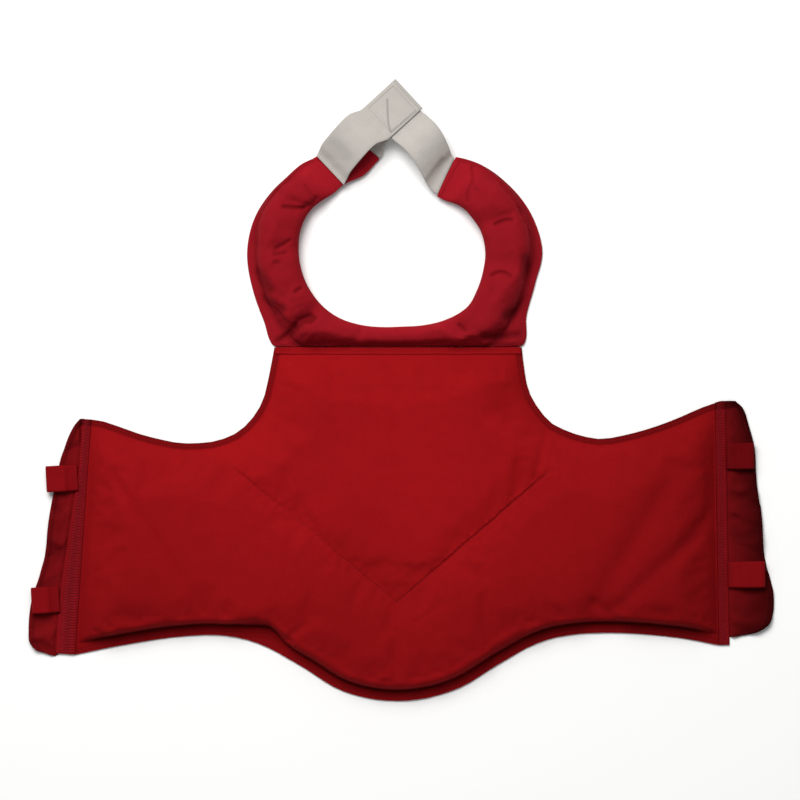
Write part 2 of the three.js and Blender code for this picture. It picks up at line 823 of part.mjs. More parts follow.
// Widths, height and edges of one collar section, kept above the straight seam with the panel
function collarSizes(row) {
  const inner = row.inner * neckRadius;
  const facing = Math.cos(THREE.MathUtils.degToRad(row.turn));
  const toSeam = facing > 0 ? (neckRise - clearance) / facing : Infinity;
  const tube = Math.min(row.tube * collarWidth, toSeam - inner - collarSeamLip);
  const edge = Math.min(row.edge * collarEdgeWidth, toSeam - inner - tube);
  let dented = 1;
  for (const dent of collarDents) {
    dented -= dent.depth * Math.exp(-(((row.turn - dent.turn) / dent.width) ** 2));
  }
  const height = THREE.MathUtils.lerp(collarTipThickness, collarHeight, row.fill) * dented;
  return { inner, tube, edge, height, lift: Math.max(row.lift, 0) * collarTipLift };
}

// Point of a collar section at a distance out from its inner edge, on the straight line across it
function collarPoint(row, sizes, out, up) {
  const whole = sizes.tube + sizes.edge;
  const inner = neckPlace(row.turn, sizes.inner);
  const place = inner.lerp(neckPlace(row.turn + row.skew, sizes.inner + whole), out / whole);
  return new THREE.Vector3(place.x, place.y, sizes.lift + up);
}

function collarSection(row) {
  const sizes = collarSizes(row);
  const edgeTop = Math.min(collarEdgeThickness, sizes.height * collarEdgeShare);
  return [
    ...collarProfile.map(({ out, up }) => collarPoint(row, sizes, out * sizes.tube, up * sizes.height)),
    collarPoint(row, sizes, sizes.tube * collarFoot, edgeTop),
    collarPoint(row, sizes, sizes.tube + sizes.edge, edgeTop),
    collarPoint(row, sizes, sizes.tube + sizes.edge, 0),
  ];
}

function collarPad() {
  const sections = [];
  const last = collarSections.length - 1;
  for (let s = 0; s <= last * sectionsPerRow; s += 1) {
    sections.push(collarSection(rowAt(collarSections, s / sectionsPerRow)));
  }
  return loft(sections);
}

// Straight strip that is sewn over the panel's top edge, under the collar
function seamStrip() {
  const low = panelEdgeThickness + clearance;
  const strip = new THREE.BoxGeometry(bibWidth - 2 * clearance, seamStripWidth, seamStripThickness);
  strip.translate(0, -clearance - seamStripWidth / 2, low + seamStripThickness / 2);
  return strip;
}

// Top and bottom corners of the panel's end on one side
function sideLine(side) {
  const { top, bottom } = panelChains();
  const at = side.hand < 0 ? 0 : columns;
  return { high: top[at], low: bottom[at] };
}

// Unit vector straight out from the panel's end
function sideOutward(side) {
  const { high, low } = sideLine(side);
  return leftOf(low, high).multiplyScalar(-side.hand);
}

// Place at a share of the way down the panel's end and a distance out from it
function sidePlace(side, along, out) {
  const { high, low } = sideLine(side);
  return high.clone().lerp(low, along).addScaledVector(sideOutward(side), out);
}

function bandReach(side, along) {
  return clearance + side.bandWidth * tableAt(side.band, along, 'wide');
}

// Stitched band along the panel's end
function sideBand(side) {
  const upper = [];
  const lower = [];
  for (let r = 0; r <= sideRows; r += 1) {
    const along = r / sideRows;
    const near = sidePlace(side, along, clearance);
    const far = sidePlace(side, along, bandReach(side, along));
    upper.push([near, far].map((place) => new THREE.Vector3(place.x, place.y, bandThickness)));
    lower.push([near, far].map((place) => new THREE.Vector3(place.x, place.y, 0)));
  }
  return slab(upper, lower);
}

// How high the flap is wrinkled up, from nothing at its sewn edge to the most at its free edge
function wrinkleAt(side, along, outShare) {
  let rise = 0;
  for (const wrinkle of side.wrinkles) {
    rise += wrinkle.rise * Math.exp(-(((along - wrinkle.along) / wrinkle.width) ** 2));
  }
  return wrinkleHeight * rise * Math.sin((outShare * Math.PI) / 2);
}

// Unpadded cloth flap outside the band
function sideFlap(side) {
  const edge = side.flap.map(({ along, reach }) => {
    return sidePlace(side, along, bandReach(side, along) + reach * side.flapReach);
  });
  const outline = curveThrough(edge);
  const free = outline.getSpacedPoints(sideRows);
  const end = side.flap[side.flap.length - 1].along;
  const { high: start, low: finish } = sideLine(side);
  const endLine = new THREE.Line3(toVector3(start), toVector3(finish));
  const upper = [];
  const lower = [];
  for (let r = 0; r <= sideRows; r += 1) {
    const along = (r / sideRows) * end;
    const sewn = sidePlace(side, along, bandReach(side, along) + clearance);
    const low = [];
    const high = [];
    for (let c = 0; c <= flapColumns; c += 1) {
      const outShare = c / flapColumns;
      const place = sewn.clone().lerp(toVector2(free[r]), outShare);
      const rise = wrinkleAt(side, endLine.closestPointToPointParameter(toVector3(place)), outShare);
      low.push(new THREE.Vector3(place.x, place.y, rise));
      high.push(new THREE.Vector3(place.x, place.y, rise + flapThickness));
    }
    upper.push(high);
    lower.push(low);
  }
  return slab(upper, lower);
}

// Webbing loop: a band folded back on itself, open from end to end, its two ends sewn together
function beltLoop(side, { along, reach: share, tilt }) {
  const reach = share * loopReach;
  const nose = loopRise / 2;
  const inner = nose - loopThickness;
  const shoulder = reach * loopShoulder;
  const rootHeight = loopThickness * 2 + clearance;
  const outline = new THREE.Shape();
  outline.moveTo(0, 0);
  outline.lineTo(reach - nose, 0);
  outline.absarc(reach - nose, nose, nose, -Math.PI / 2, Math.PI / 2, false);
  outline.lineTo(shoulder, loopRise);
  outline.lineTo(loopRoot, rootHeight);
  outline.lineTo(0, rootHeight);
  const slot = new THREE.Path();
  slot.moveTo(loopRoot + loopThickness, loopThickness);
  slot.lineTo(reach - nose, loopThickness);
  slot.absarc(reach - nose, nose, inner, -Math.PI / 2, Math.PI / 2, false);
  slot.lineTo(shoulder + loopThickness / 2, loopRise - loopThickness);
  outline.holes.push(slot);
  const cut = { depth: loopWidth, bevelEnabled: false, curveSegments: loopCurveSegments };
  const loop = new THREE.ExtrudeGeometry(outline, cut);
  loop.translate(0, 0, -loopWidth / 2);
  const outward = sideOutward(side);
  outward.rotateAround(new THREE.Vector2(), THREE.MathUtils.degToRad(-side.hand * tilt));
  const across = new THREE.Vector3(outward.x, outward.y, 0);
  const up = new THREE.Vector3(0, 0, 1);
  const down = new THREE.Vector3().crossVectors(across, up);
  const seat = sidePlace(side, along, bandReach(side, along) + clearance);
  const place = new THREE.Matrix4().makeBasis(across, up, down);
  place.setPosition(seat.x, seat.y, flapThickness + clearance);
  return loop.applyMatrix4(place);
}

// Strap through its stops, each with its own angle across and, where it matters, its own direction
function strap(stops) {
  const sections = stops.map((stop, i) => {
    const before = stops[Math.max(i - 1, 0)].point;
    const after = stops[Math.min(i + 1, stops.length - 1)].point;
    const way = stop.way ?? after.clone().sub(before).normalize();
    const across = new THREE.Vector3(Math.cos(stop.angle), Math.sin(stop.angle), 0);
    const halfThick = new THREE.Vector3().crossVectors(way, across).setLength(strapThickness / 2);
    const halfWide = across.multiplyScalar(strapWidth / 2);
    return [
      stop.point.clone().sub(halfWide).sub(halfThick),
      stop.point.clone().add(halfWide).sub(halfThick),
      stop.point.clone().add(halfWide).add(halfThick),
      stop.point.clone().sub(halfWide).add(halfThick),
    ];
  });
  return loft(sections);
}

// Stops of a strap from its seat on the collar to the near edge of the crossing, level at the seat
function strapStops(rows, seat, heading, arrivalAngle, arrivalHeight) {
  const arrival = crossing.clone().addScaledVector(heading, -strapWidth / 2);
  const ahead = arrival.sub(toVector2(seat.point));
  const left = new THREE.Vector2(-ahead.y, ahead.x).normalize();
  const level = new THREE.Vector3(Math.sin(seat.angle), -Math.cos(seat.angle), 0);
  if (level.dot(toVector3(ahead)) < 0) level.negate();
  return rows.map(({ along, aside, arch, turn }, i) => {
    const place = toVector2(seat.point).addScaledVector(ahead, along);
    place.addScaledVector(left, aside * strapWidth);
    const climb = THREE.MathUtils.smoothstep(along, 0, 1);
    const height = THREE.MathUtils.lerp(seat.point.z, arrivalHeight, climb) + arch * strapArch;
    const angle = THREE.MathUtils.lerp(seat.angle, arrivalAngle, turn);
    const point = new THREE.Vector3(place.x, place.y, height).addScaledVector(level, clearance);
    return i === 0 ? { point, angle, way: level } : { point, angle };
  });
}

// Seat of a strap on a collar section, with the angle of the line across it: in the middle, or with
// the strap flush with the section's inner edge
function collarSeat(row, up, flush) {
  const sizes = collarSizes(row);
  const inner = collarPoint(row, sizes, 0, up * sizes.height);
  const outer = collarPoint(row, sizes, sizes.tube + sizes.edge, up * sizes.height);
  const across = outer.clone().sub(inner);
  const point = inner.addScaledVector(across.clone().normalize(), (flush ? strapWidth : across.length()) / 2);
  return { point, angle: Math.atan2(across.y, across.x) };
}

const layerStep = strapThickness + clearance;
const leftHeadingAngle = THREE.MathUtils.degToRad(crossingHeading);
const leftHeading = new THREE.Vector2(Math.cos(leftHeadingAngle), Math.sin(leftHeadingAngle));
const rightHeadingAngle = leftHeadingAngle + Math.PI / 2;
const rightHeading = new THREE.Vector2(Math.cos(rightHeadingAngle), Math.sin(rightHeadingAngle));

// Left strap: from the top of the collar's left tip to the crossing, over the right strap, folded
// back under it, and on to the end of the same tip
function leftNeckStrap() {
  const seat = collarSeat(collarSections.find((row) => row.strap), 1, false);
  seat.point.z += clearance + strapThickness / 2;
  const front = strapStops(leftStrapWay, seat, leftHeading, rightHeadingAngle, crossingHeight);
  const ahead = toVector3(leftHeading);
  const fold = [];
  for (let s = 0; s <= foldSteps; s += 1) {
    const bend = (s / foldSteps) * Math.PI;
    const point = new THREE.Vector3(crossing.x, crossing.y, crossingHeight);
    point.addScaledVector(ahead, strapWidth / 2 + layerStep * Math.sin(bend));
    point.z += layerStep * (Math.cos(bend) - 1);
    const way = ahead.clone().multiplyScalar(Math.cos(bend));
    way.z = -Math.sin(bend);
    fold.push({ point, way, angle: rightHeadingAngle });
  }
  const tip = collarSeat(collarSections[0], 0.5, true);
  const underHeight = crossingHeight - 2 * layerStep;
  const back = strapStops(backStrapWay, tip, leftHeading, rightHeadingAngle, underHeight);
  back.reverse();
  back[back.length - 1].way.negate();
  return strap([...front, ...fold, ...back]);
}

// Right strap: from the end of the collar's right tip to the crossing, between the left strap's layers
function rightNeckStrap() {
  const seat = collarSeat(collarSections[collarSections.length - 1], 0.5, false);
  const middleHeight = crossingHeight - layerStep;
  const stops = strapStops(rightStrapWay, seat, rightHeading, leftHeadingAngle, middleHeight);
  const point = new THREE.Vector3(crossing.x, crossing.y, middleHeight);
  point.addScaledVector(toVector3(rightHeading), strapWidth / 2 - layerStep);
  stops.push({ point, angle: leftHeadingAngle });
  return strap(stops);
}

function red(lightness) {
  const colour = new THREE.Color(0x9a1119).multiplyScalar(lightness);
  return new THREE.MeshStandardMaterial({ color: colour, roughness: 0.9, metalness: 0 });
}

function offWhite() {
  return new THREE.MeshStandardMaterial({ color: 0xbcb7ae, roughness: 0.95, metalness: 0 });
}

const protector = new THREE.Group();

function addPiece(name, geometry, material) {
  const piece = new THREE.Mesh(geometry, material);
  piece.name = name;
  protector.add(piece);
}

addPiece('chest_panel', chestPanel(), red(1));
addPiece('collar_pad', collarPad(), red(1.05));
addPiece('collar_seam_strip', seamStrip(), red(0.9));
for (const side of sides) {
  addPiece(`side_band_${side.name}`, sideBand(side), red(1));
  addPiece(`side_flap_${side.name}`, sideFlap(side), red(0.8));
  for (const loop of side.loops) {
    addPiece(`belt_loop_${side.name}_${loop.name}`, beltLoop(side, loop), red(0.95));
  }
}
addPiece('neck_strap_left', leftNeckStrap(), offWhite());
addPiece('neck_strap_right', rightNeckStrap(), offWhite());

// The origin is the middle of the whole outline, on the surface that the protector lies on
const bounds = new THREE.Box3().setFromObject(protector);
const middle = bounds.getCenter(new THREE.Vector3());
protector.position.set(-middle.x, -middle.y, -bounds.min.z);

const model = new THREE.Group();
model.add(protector);

export default model;
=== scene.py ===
import math

import bpy
import numpy as np
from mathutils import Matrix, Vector
from mathutils.geometry import delaunay_2d_cdt


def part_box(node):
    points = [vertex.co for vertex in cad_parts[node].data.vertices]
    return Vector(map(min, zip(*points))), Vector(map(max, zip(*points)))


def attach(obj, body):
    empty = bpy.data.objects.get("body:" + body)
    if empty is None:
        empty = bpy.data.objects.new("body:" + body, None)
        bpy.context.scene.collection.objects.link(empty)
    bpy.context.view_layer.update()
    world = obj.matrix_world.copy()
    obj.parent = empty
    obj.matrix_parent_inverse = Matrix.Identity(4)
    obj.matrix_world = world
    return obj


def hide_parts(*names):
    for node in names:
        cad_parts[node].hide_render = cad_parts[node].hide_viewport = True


# The script works in millimetres, with x from the protector's centre line, y up from the seam between
# panel and collar, and z from the surface. place() turns that into the row frame.

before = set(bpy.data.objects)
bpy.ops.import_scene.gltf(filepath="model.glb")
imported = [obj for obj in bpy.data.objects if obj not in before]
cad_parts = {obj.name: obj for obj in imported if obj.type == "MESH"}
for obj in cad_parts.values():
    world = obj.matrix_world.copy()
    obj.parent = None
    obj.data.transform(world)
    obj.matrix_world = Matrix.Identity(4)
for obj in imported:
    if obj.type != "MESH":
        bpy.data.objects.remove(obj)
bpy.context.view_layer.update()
strip_low, strip_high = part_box("collar_seam_strip")
CLEARANCE = 0.3
CENTRE_X = (strip_low.x + strip_high.x) * 500
SEAM_Y = strip_high.y * 1000 + CLEARANCE

# Panel
PANEL_TOP = 24
EDGE_TOP = 2.5
EDGE_WIDTH = 9
END_LIP = 2
HEM_WIDTH = 6.5
EDGE_STITCH_DEPTH = 3.6
GROOVE_DEPTH_IN = 10.8
GROOVE_BOTTOM = 1.2
LOWER_SLOPE = 15.5
UPPER_SLOPE = 46
SEAM_SLOPE = 36
END_SLOPE = 42
LOWER_EDGE_BELOW = -200
SEAM_EDGE_ABOVE = -1.5
PANEL_CORNERS = {
    "left": [(-306.5, -72.5), (-322.5, -307.6)],
    "right": [(316.5, -56.2), (320.5, -298.0)],
}
SEAM_POINT = (-1.0, -254.9)
SEAM_STARTS = [(-166.1, -118.3), (149.0, -125.3)]
SEAM_DEPTHS = {
    -166.1: [
        (0, 0.1), (0.05, 0.65), (0.2, 0.45), (0.3, 0.12), (0.55, 0.06), (0.62, 0.4), (0.85, 0.45), (1, 0.25)
    ],
    149.0: [(0, 0.3), (0.04, 1.0), (0.2, 1.1), (0.45, 1.0), (0.68, 1.0), (0.8, 0.7), (1, 0.45)],
}

# Soft folds and creases: line, width and depth
PANEL_FOLDS = [
    ([(-284, -125), (-273, -146), (-256, -171), (-240, -192), (-219, -226), (-194, -264)], 6, 1.5),
    ([(279, -123), (254, -164), (229, -205), (192, -268)], 13, 4.2),
    ([(313, -167), (292, -191), (268, -215), (216, -263)], 10, 3.8),
    ([(149, -84), (142, -108), (136, -130)], 5, 1.4),
    ([(36, -262), (26, -270), (18, -275)], 2.5, 0.7),
    ([(40, -283), (48, -282)], 2, 0.5),
    ([(-128, -284), (-118, -287), (-106, -294)], 2.6, 3.5),
    ([(-112, -292), (-100, -283), (-92, -278)], 3.5, 1.6),
    ([(96, -302), (112, -294), (124, -286)], 4, 2.2),
    ([(86, -250), (89, -272), (92, -296)], 6, 1.0),
    ([(-262, -96), (-250, -118), (-246, -134)], 7, 0.9),
    ([(196, -256), (211, -268), (226, -276)], 5, 2.6),
    ([(219, -267), (233, -274), (243, -280)], 5, -1.6),
    ([(-303, -283), (-294, -287), (-287, -292)], 2.5, 1.5),
    ([(60, -120), (150, -200), (210, -240)], 60, 0.9),
    ([(-128, -60), (-116, -74), (-98, -80)], 6, 0.8),
    ([(130, -42), (118, -58), (104, -64)], 6, 0.8),
]
# How much further in the fold along the lower edge lies, and how dark its painted shadow is, by place along
# it
LOWER_SHIFT = [(-330, 0), (-172, 0), (-150, 3.5), (-129, 9), (-122, 7), (-113, 1.5), (-104, 0), (330, 0)]
LOWER_GROOVE_SHADOW = [
    (-300, 1.0), (-128, 1.0), (-112, 0.65), (-64, 1.0), (27, 1.0), (60, 0.7), (122, 0.7), (140, 1.0),
    (310, 1.0),
]
COLLAR_CREASES = [
    ([(-114, 139.7), (-104, 138.6), (-93.7, 138.3)], 1.7, 3.4),
    ([(-91, 141), (-86, 143), (-81.5, 148)], 2.6, 3.0),
    ([(-121.7, 97.6), (-115, 101), (-107.7, 106)], 1.6, 2.3),
    ([(-123, 92), (-118, 92.4), (-112, 93.4)], 1.6, 2.2),
    ([(-123, 83.6), (-121, 83.4), (-119, 83.6)], 1.8, 1.8),
    ([(-102, 54), (-99, 56.6), (-96.5, 58)], 1.8, 2.4),
    ([(-88, 29), (-98, 24.7), (-107.7, 13.4), (-121.7, 2.2)], 4.0, 6.0),
    ([(-86.7, 24.7), (-84.4, 27), (-82.4, 29)], 1.5, 2.6),
    ([(61, 21.7), (64, 18.6), (66.6, 15.4)], 1.6, 2.4),
    ([(-38, 19), (-38, 12)], 1.6, 0.9),
    ([(-1, 20), (-1, 14)], 1.6, 0.7),
    ([(97, 122), (106, 125.6), (113, 126.3)], 1.8, 2.6),
    ([(93, 71), (101, 74), (108, 73), (112, 70)], 1.7, 2.6),
    ([(-92.3, 161), (-88, 156), (-85.3, 151)], 1.6, 1.4),
    ([(74, 179), (74, 165), (69, 154), (69, 145)], 1.4, 1.6),
    ([(77, 158), (79, 156)], 1.8, 1.4),
    ([(-140, 73), (-134, 65), (-128, 57)], 5.0, 4.0),
    ([(-133, 47), (-124, 42), (-116, 37)], 4.5, 3.5),
    ([(127, 88), (132, 72), (135, 55)], 4.5, 3.5),
    ([(128, 46), (119, 38), (110, 30)], 5.0, 4.5),
    ([(121, 12), (104, 10), (86, 11)], 4.0, 3.0),
    ([(-100, 3), (-76, 4), (-44, 5)], 3.5, 2.0),
    ([(-30, 3), (0, 1), (40, 4), (86, 8)], 3.0, 0.8),
]

# Collar: sections round the neck from the left tip to the right tip
NECK_CENTRE = (-6, 95)
NECK_RADIUS = 93
COLLAR_WIDTH = 43
COLLAR_HEIGHT = 30
COLLAR_EDGE = 12
PROFILE_STEP = 0.085
STITCHED_EDGE = 4.5
TIP_STITCH_ROWS = (0.45, 0.8, 25.65)
TIP_THICKNESS = 4
TIP_LIFT = 5
SEAM_LIP = 1.2
COLLAR_ROWS = np.array(
    [  # turn, skew, inner, tube, edge, fill, lift
        (-173, 11, 1.01, 0.58, 0.08, 0, 0.3),
        (-160, 7, 0.877, 0.93, 0.08, 0, 0.6),
        (-144, 2.3, 0.888, 0.88, 0.08, 0, 1),
        (-135, 1, 0.887, 0.98, 0.1, 0.12, 0.9),
        (-126, 1, 0.93, 0.96, 0.12, 0.62, 0.4),
        (-117, 0, 0.98, 0.96, 0.15, 0.92, 0),
        (-104, 0, 1.006, 1.0, 0.4, 1, 0),
        (-90, 0, 1.0, 0.98, 0.8, 1, 0),
        (-75, 0, 0.985, 0.98, 0.86, 1, 0),
        (-62, 0, 0.964, 1.0, 1.05, 0.96, 0),
        (-50.9, 0, 0.942, 1.04, 1.55, 0.9, 0),
        (-38, 0, 0.905, 1.0, 0.8, 0.72, 0),
        (-24, 0, 0.855, 1.0, 0.2, 0.54, 0),
        (-8, 0, 0.815, 1.0, 0.2, 0.46, 0),
        (8, 0, 0.81, 1.0, 0.2, 0.46, 0),
        (24, 0, 0.86, 1.0, 0.2, 0.54, 0),
        (38, 0, 0.927, 1.0, 0.8, 0.72, 0),
        (53.6, 0, 1.0, 1.02, 2.0, 0.9, 0),
        (65, 0, 1.0, 0.99, 1.06, 0.96, 0),
        (78, 0, 0.998, 1.0, 0.88, 1, 0),
        (90, 0, 1.0, 1.09, 0.86, 1, 0),
        (103, 0, 0.976, 1.1, 0.6, 1, 0),
        (112, 0, 0.935, 1.12, 0.4, 1, 0),
        (120, 1, 0.903, 1.1, 0.2, 0.92, 0),
        (127, 2, 0.852, 1.1, 0.15, 0.55, 0.4),
        (134, 3, 0.793, 1.1, 0.1, 0.1, 0.9),
        (141.2, 5.2, 0.765, 0.97, 0.08, 0, 1),
    ],
    float,
)
COLLAR_PROFILE = [
    (0.2, 0), (0.05, 0.16), (0, 0.44), (0.07, 0.74), (0.23, 0.93), (0.43, 1), (0.6, 0.97), (0.74, 0.88),
    (0.85, 0.68), (0.93, 0.45), (1, 0.27),
]
COLLAR_DENTS = [
    (-116, 4, 0.14), (-92, 4, 0.08), (-53, 5, 0.2), (-22, 4, 0.08), (41, 5, 0.16), (83, 5, 0.08),
    (107, 4, 0.1),
]

# Straps
STRAP_WIDTH = 40
STRAP_THICKNESS = 1.8
CROSSING = (-6, 237)
HEADING = math.radians(42.4)
CROSSING_HEIGHT = 22
STRAP_ARCH = 11
LAYER = STRAP_THICKNESS + CLEARANCE
FOLD_SHADE = 0.95
LEFT_WAY = [
    (0, 0, 0, 0), (0.08, 0.04, 0.08, 0.05), (0.19, 0.1, 0.55, 0.15), (0.33, 0.125, 0.88, 0.35),
    (0.48, 0.14, 1, 0.55), (0.64, 0.15, 0.85, 0.8), (0.78, 0.13, 0.5, 1), (0.9, 0.04, 0.15, 1),
    (1, 0, 0, 1),
]
RIGHT_WAY = [
    (0, 0, 0, 0), (0.12, 0.02, 0.15, 0.35), (0.24, -0.02, 0.6, 0.55), (0.4, -0.07, 0.95, 0.68),
    (0.56, -0.1, 1, 0.78), (0.72, -0.09, 0.7, 0.9), (0.88, -0.04, 0.2, 1), (1, 0, 0, 1),
]
BACK_WAY = [(0, 0, 0, 0), (0.25, 0.02, 0, 0.3), (0.5, 0.05, 0, 0.6), (0.83, 0.03, 0, 1), (1, 0, 0, 1)]

# Belt loops
LOOP_WIDTH = 26
LOOP_THICKNESS = 1.6
LOOP_RISE = 9
LOOP_ROOT = 3
LOOP_SHOULDER = 0.4
# Name, side, place along the end, painted shade, reach and tilt; the painted shade darkens the right side's
# loops, most of all the tilted upper one.
LOOPS = [
    ("left_upper", "left", 0.25, 1.0, 30.6, 7),
    ("left_lower", "left", 0.77, 1.0, 27, 7),
    ("right_upper", "right", 0.22, 0.58, 27, 0),
    ("right_lower", "right", 0.71, 0.88, 36, 0),
]
FLAP_CREASES = {
    "left": [
        ([(-364, -296), (-352, -298), (-344, -305)], 4, 2.0),
        ([(-345, -157), (-338, -165)], 4, 2.2),
        ([(-351, -195), (-338, -205)], 5, 2.4),
    ],
    "right": [
        ([(332, -146), (344, -149), (356, -143)], 5, 2.2),
        ([(328, -168), (338, -170)], 3, 1.6),
        ([(334, -186), (346, -191), (360, -184)], 5, 2.2),
        ([(334, -262), (348, -268), (360, -262)], 5, 1.6),
    ],
}


def place(points):
    """Points in millimetres to points of the row frame in metres."""
    points = np.asarray(points, float)
    return (points + np.array([CENTRE_X, SEAM_Y, 0.0])) * 0.001


def noise(x, y, size, seed):
    """Smooth noise from -1 to 1 whose bumps are about size across."""
    table = np.random.RandomState(seed).uniform(-1, 1, (128, 128))
    turn = seed * 0.7
    u = (x * math.cos(turn) + y * math.sin(turn)) / size + 40
    v = (y * math.cos(turn) - x * math.sin(turn)) / size + 40
    i, j = np.floor(u).astype(int), np.floor(v).astype(int)
    f, g = u - i, v - j
    f, g = f * f * (3 - 2 * f), g * g * (3 - 2 * g)
    low = table[i % 128, j % 128] * (1 - f) + table[(i + 1) % 128, j % 128] * f
    high = table[i % 128, (j + 1) % 128] * (1 - f) + table[(i + 1) % 128, (j + 1) % 128] * f
    return low * (1 - g) + high * g


def smoothstep(low, high, value):
    """Soft step from 0 to 1 between low and high."""
    share = np.clip((value - low) / (high - low), 0, 1)
    return share * share * (3 - 2 * share)


def nearest_on(points, line, closed=False):
    """Distance from each point to a bent line, and how far along it the nearest place is."""
    line = np.asarray(line, float)
    if closed:
        line = np.vstack([line, line[:1]])
    best = np.full(len(points), 1e9)
    along = np.zeros(len(points))
    done = 0.0
    for a, b in zip(line[:-1], line[1:]):
        step = b - a
        length = math.hypot(*step)
        share = np.clip(((points - a) @ step) / max(length * length, 1e-12), 0, 1)
        gap = np.hypot(*(points - a - share[:, None] * step).T)
        closer = gap < best
        best[closer] = gap[closer]
        along[closer] = done + share[closer] * length
        done += length
    return best, along


def crease_depth(points, creases):
    """How deep the creases are at each point, all together."""
    depth = np.zeros(len(points))
    for line, width, deep in creases:
        gap, _ = nearest_on(points, spline(line, 12))
        depth += deep * np.exp(-((gap / width) ** 2))
    return depth


def spline(points, count):
    """Smooth curve through the points, cut into count equal steps of its parameter per stretch."""
    points = np.asarray(points, float)
    padded = np.vstack([2 * points[0] - points[1], points, 2 * points[-1] - points[-2]])
    made = []
    for k in range(len(points) - 1):
        p0, p1, p2, p3 = padded[k : k + 4]
        for t in np.linspace(0, 1, count, endpoint=False):
            made.append(
                0.5
                * (
                    2 * p1
                    + (p2 - p0) * t
                    + (2 * p0 - 5 * p1 + 4 * p2 - p3) * t * t
                    + (3 * p1 - p0 - 3 * p2 + p3) * t**3
                )
            )
    made.append(points[-1])
    return np.array(made)


def even(points, step, closed=False):
    """Points at equal steps along a line of points."""
    points = np.asarray(points, float)
    if closed:
        points = np.vstack([points, points[:1]])
    lengths = np.concatenate([[0], np.cumsum(np.linalg.norm(np.diff(points, axis=0), axis=1))])
    count = max(int(round(lengths[-1] / step)), 1)
    wanted = np.linspace(0, lengths[-1], count + 1)
    made = np.column_stack([np.interp(wanted, lengths, points[:, k]) for k in range(points.shape[1])])
    return made[:-1] if closed else made


def mesh_piece(name, points, faces, material, shade=None, uv=None):
    """A piece of the object, from points in millimetres, riding on the one body."""
    mesh = bpy.data.meshes.new(name)
    mesh.from_pydata([tuple(p) for p in place(points)], [], [tuple(f) for f in faces])
    mesh.validate()
    mesh.polygons.foreach_set("use_smooth", [True] * len(mesh.polygons))
    tone = mesh.attributes.new("shade", "FLOAT", "POINT")
    tone.data.foreach_set("value", np.ones(len(mesh.vertices)) if shade is None else np.asarray(shade, float))
    if uv is not None:
        layer = mesh.uv_layers.new(name="uv")
        loops = np.zeros(len(mesh.loops), int)
        mesh.loops.foreach_get("vertex_index", loops)
        layer.data.foreach_set("uv", (np.asarray(uv, float)[loops] * 0.001).ravel())
    mesh.update()
    piece = bpy.data.objects.new(name, mesh)
    bpy.context.scene.collection.objects.link(piece)
    piece.data.materials.append(material)
    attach(piece, "root")
    return piece


def grid_faces(rows, columns, wrap=False, first=0):
    """Four-sided faces of a grid of points, closed round its columns with wrap."""
    faces = []
    for r in range(rows - 1):
        for c in range(columns if wrap else columns - 1):
            d = (c + 1) % columns
            a = first + r * columns
            faces.append((a + c, a + d, a + columns + d, a + columns + c))
    return faces


def swell(piece, pinned, pressure, slack, cap, frames=18, stiffness=12):
    """Moves in mm of cloth with some slack that swells from a piece's shape, with its pinned points held."""
    mesh = piece.data
    count = len(mesh.vertices)
    before = np.zeros(count * 3)
    mesh.vertices.foreach_get("co", before)
    before = before.reshape(-1, 3)
    group = piece.vertex_groups.new(name="pinned")
    group.add([int(i) for i in np.flatnonzero(pinned)], 1.0, "REPLACE")
    cloth = piece.modifiers.new("cloth", "CLOTH")
    settings = cloth.settings
    settings.vertex_group_mass = "pinned"
    settings.quality = 5
    settings.mass = 0.25
    settings.tension_stiffness = stiffness
    settings.compression_stiffness = stiffness
    settings.shear_stiffness = stiffness / 2
    settings.bending_stiffness = 0.4
    settings.use_pressure = True
    settings.uniform_pressure_force = pressure
    settings.shrink_min = -slack
    settings.effector_weights.gravity = 0
    cloth.collision_settings.use_self_collision = False
    cloth.point_cache.frame_start = 1
    cloth.point_cache.frame_end = frames
    scene = bpy.context.scene
    for number in range(1, frames + 1):
        scene.frame_set(number)
    shaped = piece.evaluated_get(bpy.context.evaluated_depsgraph_get()).to_mesh()
    after = np.zeros(count * 3)
    shaped.vertices.foreach_get("co", after)
    after = after.reshape(-1, 3)
    piece.modifiers.remove(cloth)
    piece.vertex_groups.remove(group)
    scene.frame_set(1)
    moves = (after - before) * 1000
    moves[~np.isfinite(moves)] = 0
    lengths = np.linalg.norm(moves, axis=1)
    moves *= (np.minimum(lengths, cap) / np.maximum(lengths, 1e-9))[:, None]
    return moves


def subdivide(piece):
    """One level of subdivision, made real."""
    modifier = piece.modifiers.new("smooth", "SUBSURF")
    modifier.levels = modifier.render_levels = 1
    plain = piece.data
    seen = piece.evaluated_get(bpy.context.evaluated_depsgraph_get())
    piece.data = bpy.data.meshes.new_from_object(seen)
    piece.modifiers.remove(modifier)
    bpy.data.meshes.remove(plain)


def read_points(piece):
    """A piece's points in the script's own millimetres."""
    points = np.zeros(len(piece.data.vertices) * 3)
    piece.data.vertices.foreach_get("co", points)
    return points.reshape(-1, 3) * 1000 - np.array([CENTRE_X, SEAM_Y, 0.0])


def read_shade(piece):
    shade = np.zeros(len(piece.data.vertices))
    piece.data.attributes["shade"].data.foreach_get("value", shade)
    return shade


def node(tree, kind, inputs=None, **settings):
    """A shader node whose inputs are values or other nodes' outputs."""
    made = tree.nodes.new(kind)
    for key, value in settings.items():
        setattr(made, key, value)
    for key, value in (inputs or {}).items():
        if isinstance(value, bpy.types.NodeSocket):
            tree.links.new(value, made.inputs[key])
        else:
            made.inputs[key].default_value = value
    return made


def calc(tree, operation, first, second=0.0):
    return node(tree, "ShaderNodeMath", {0: first, 1: second}, operation=operation).outputs[0]


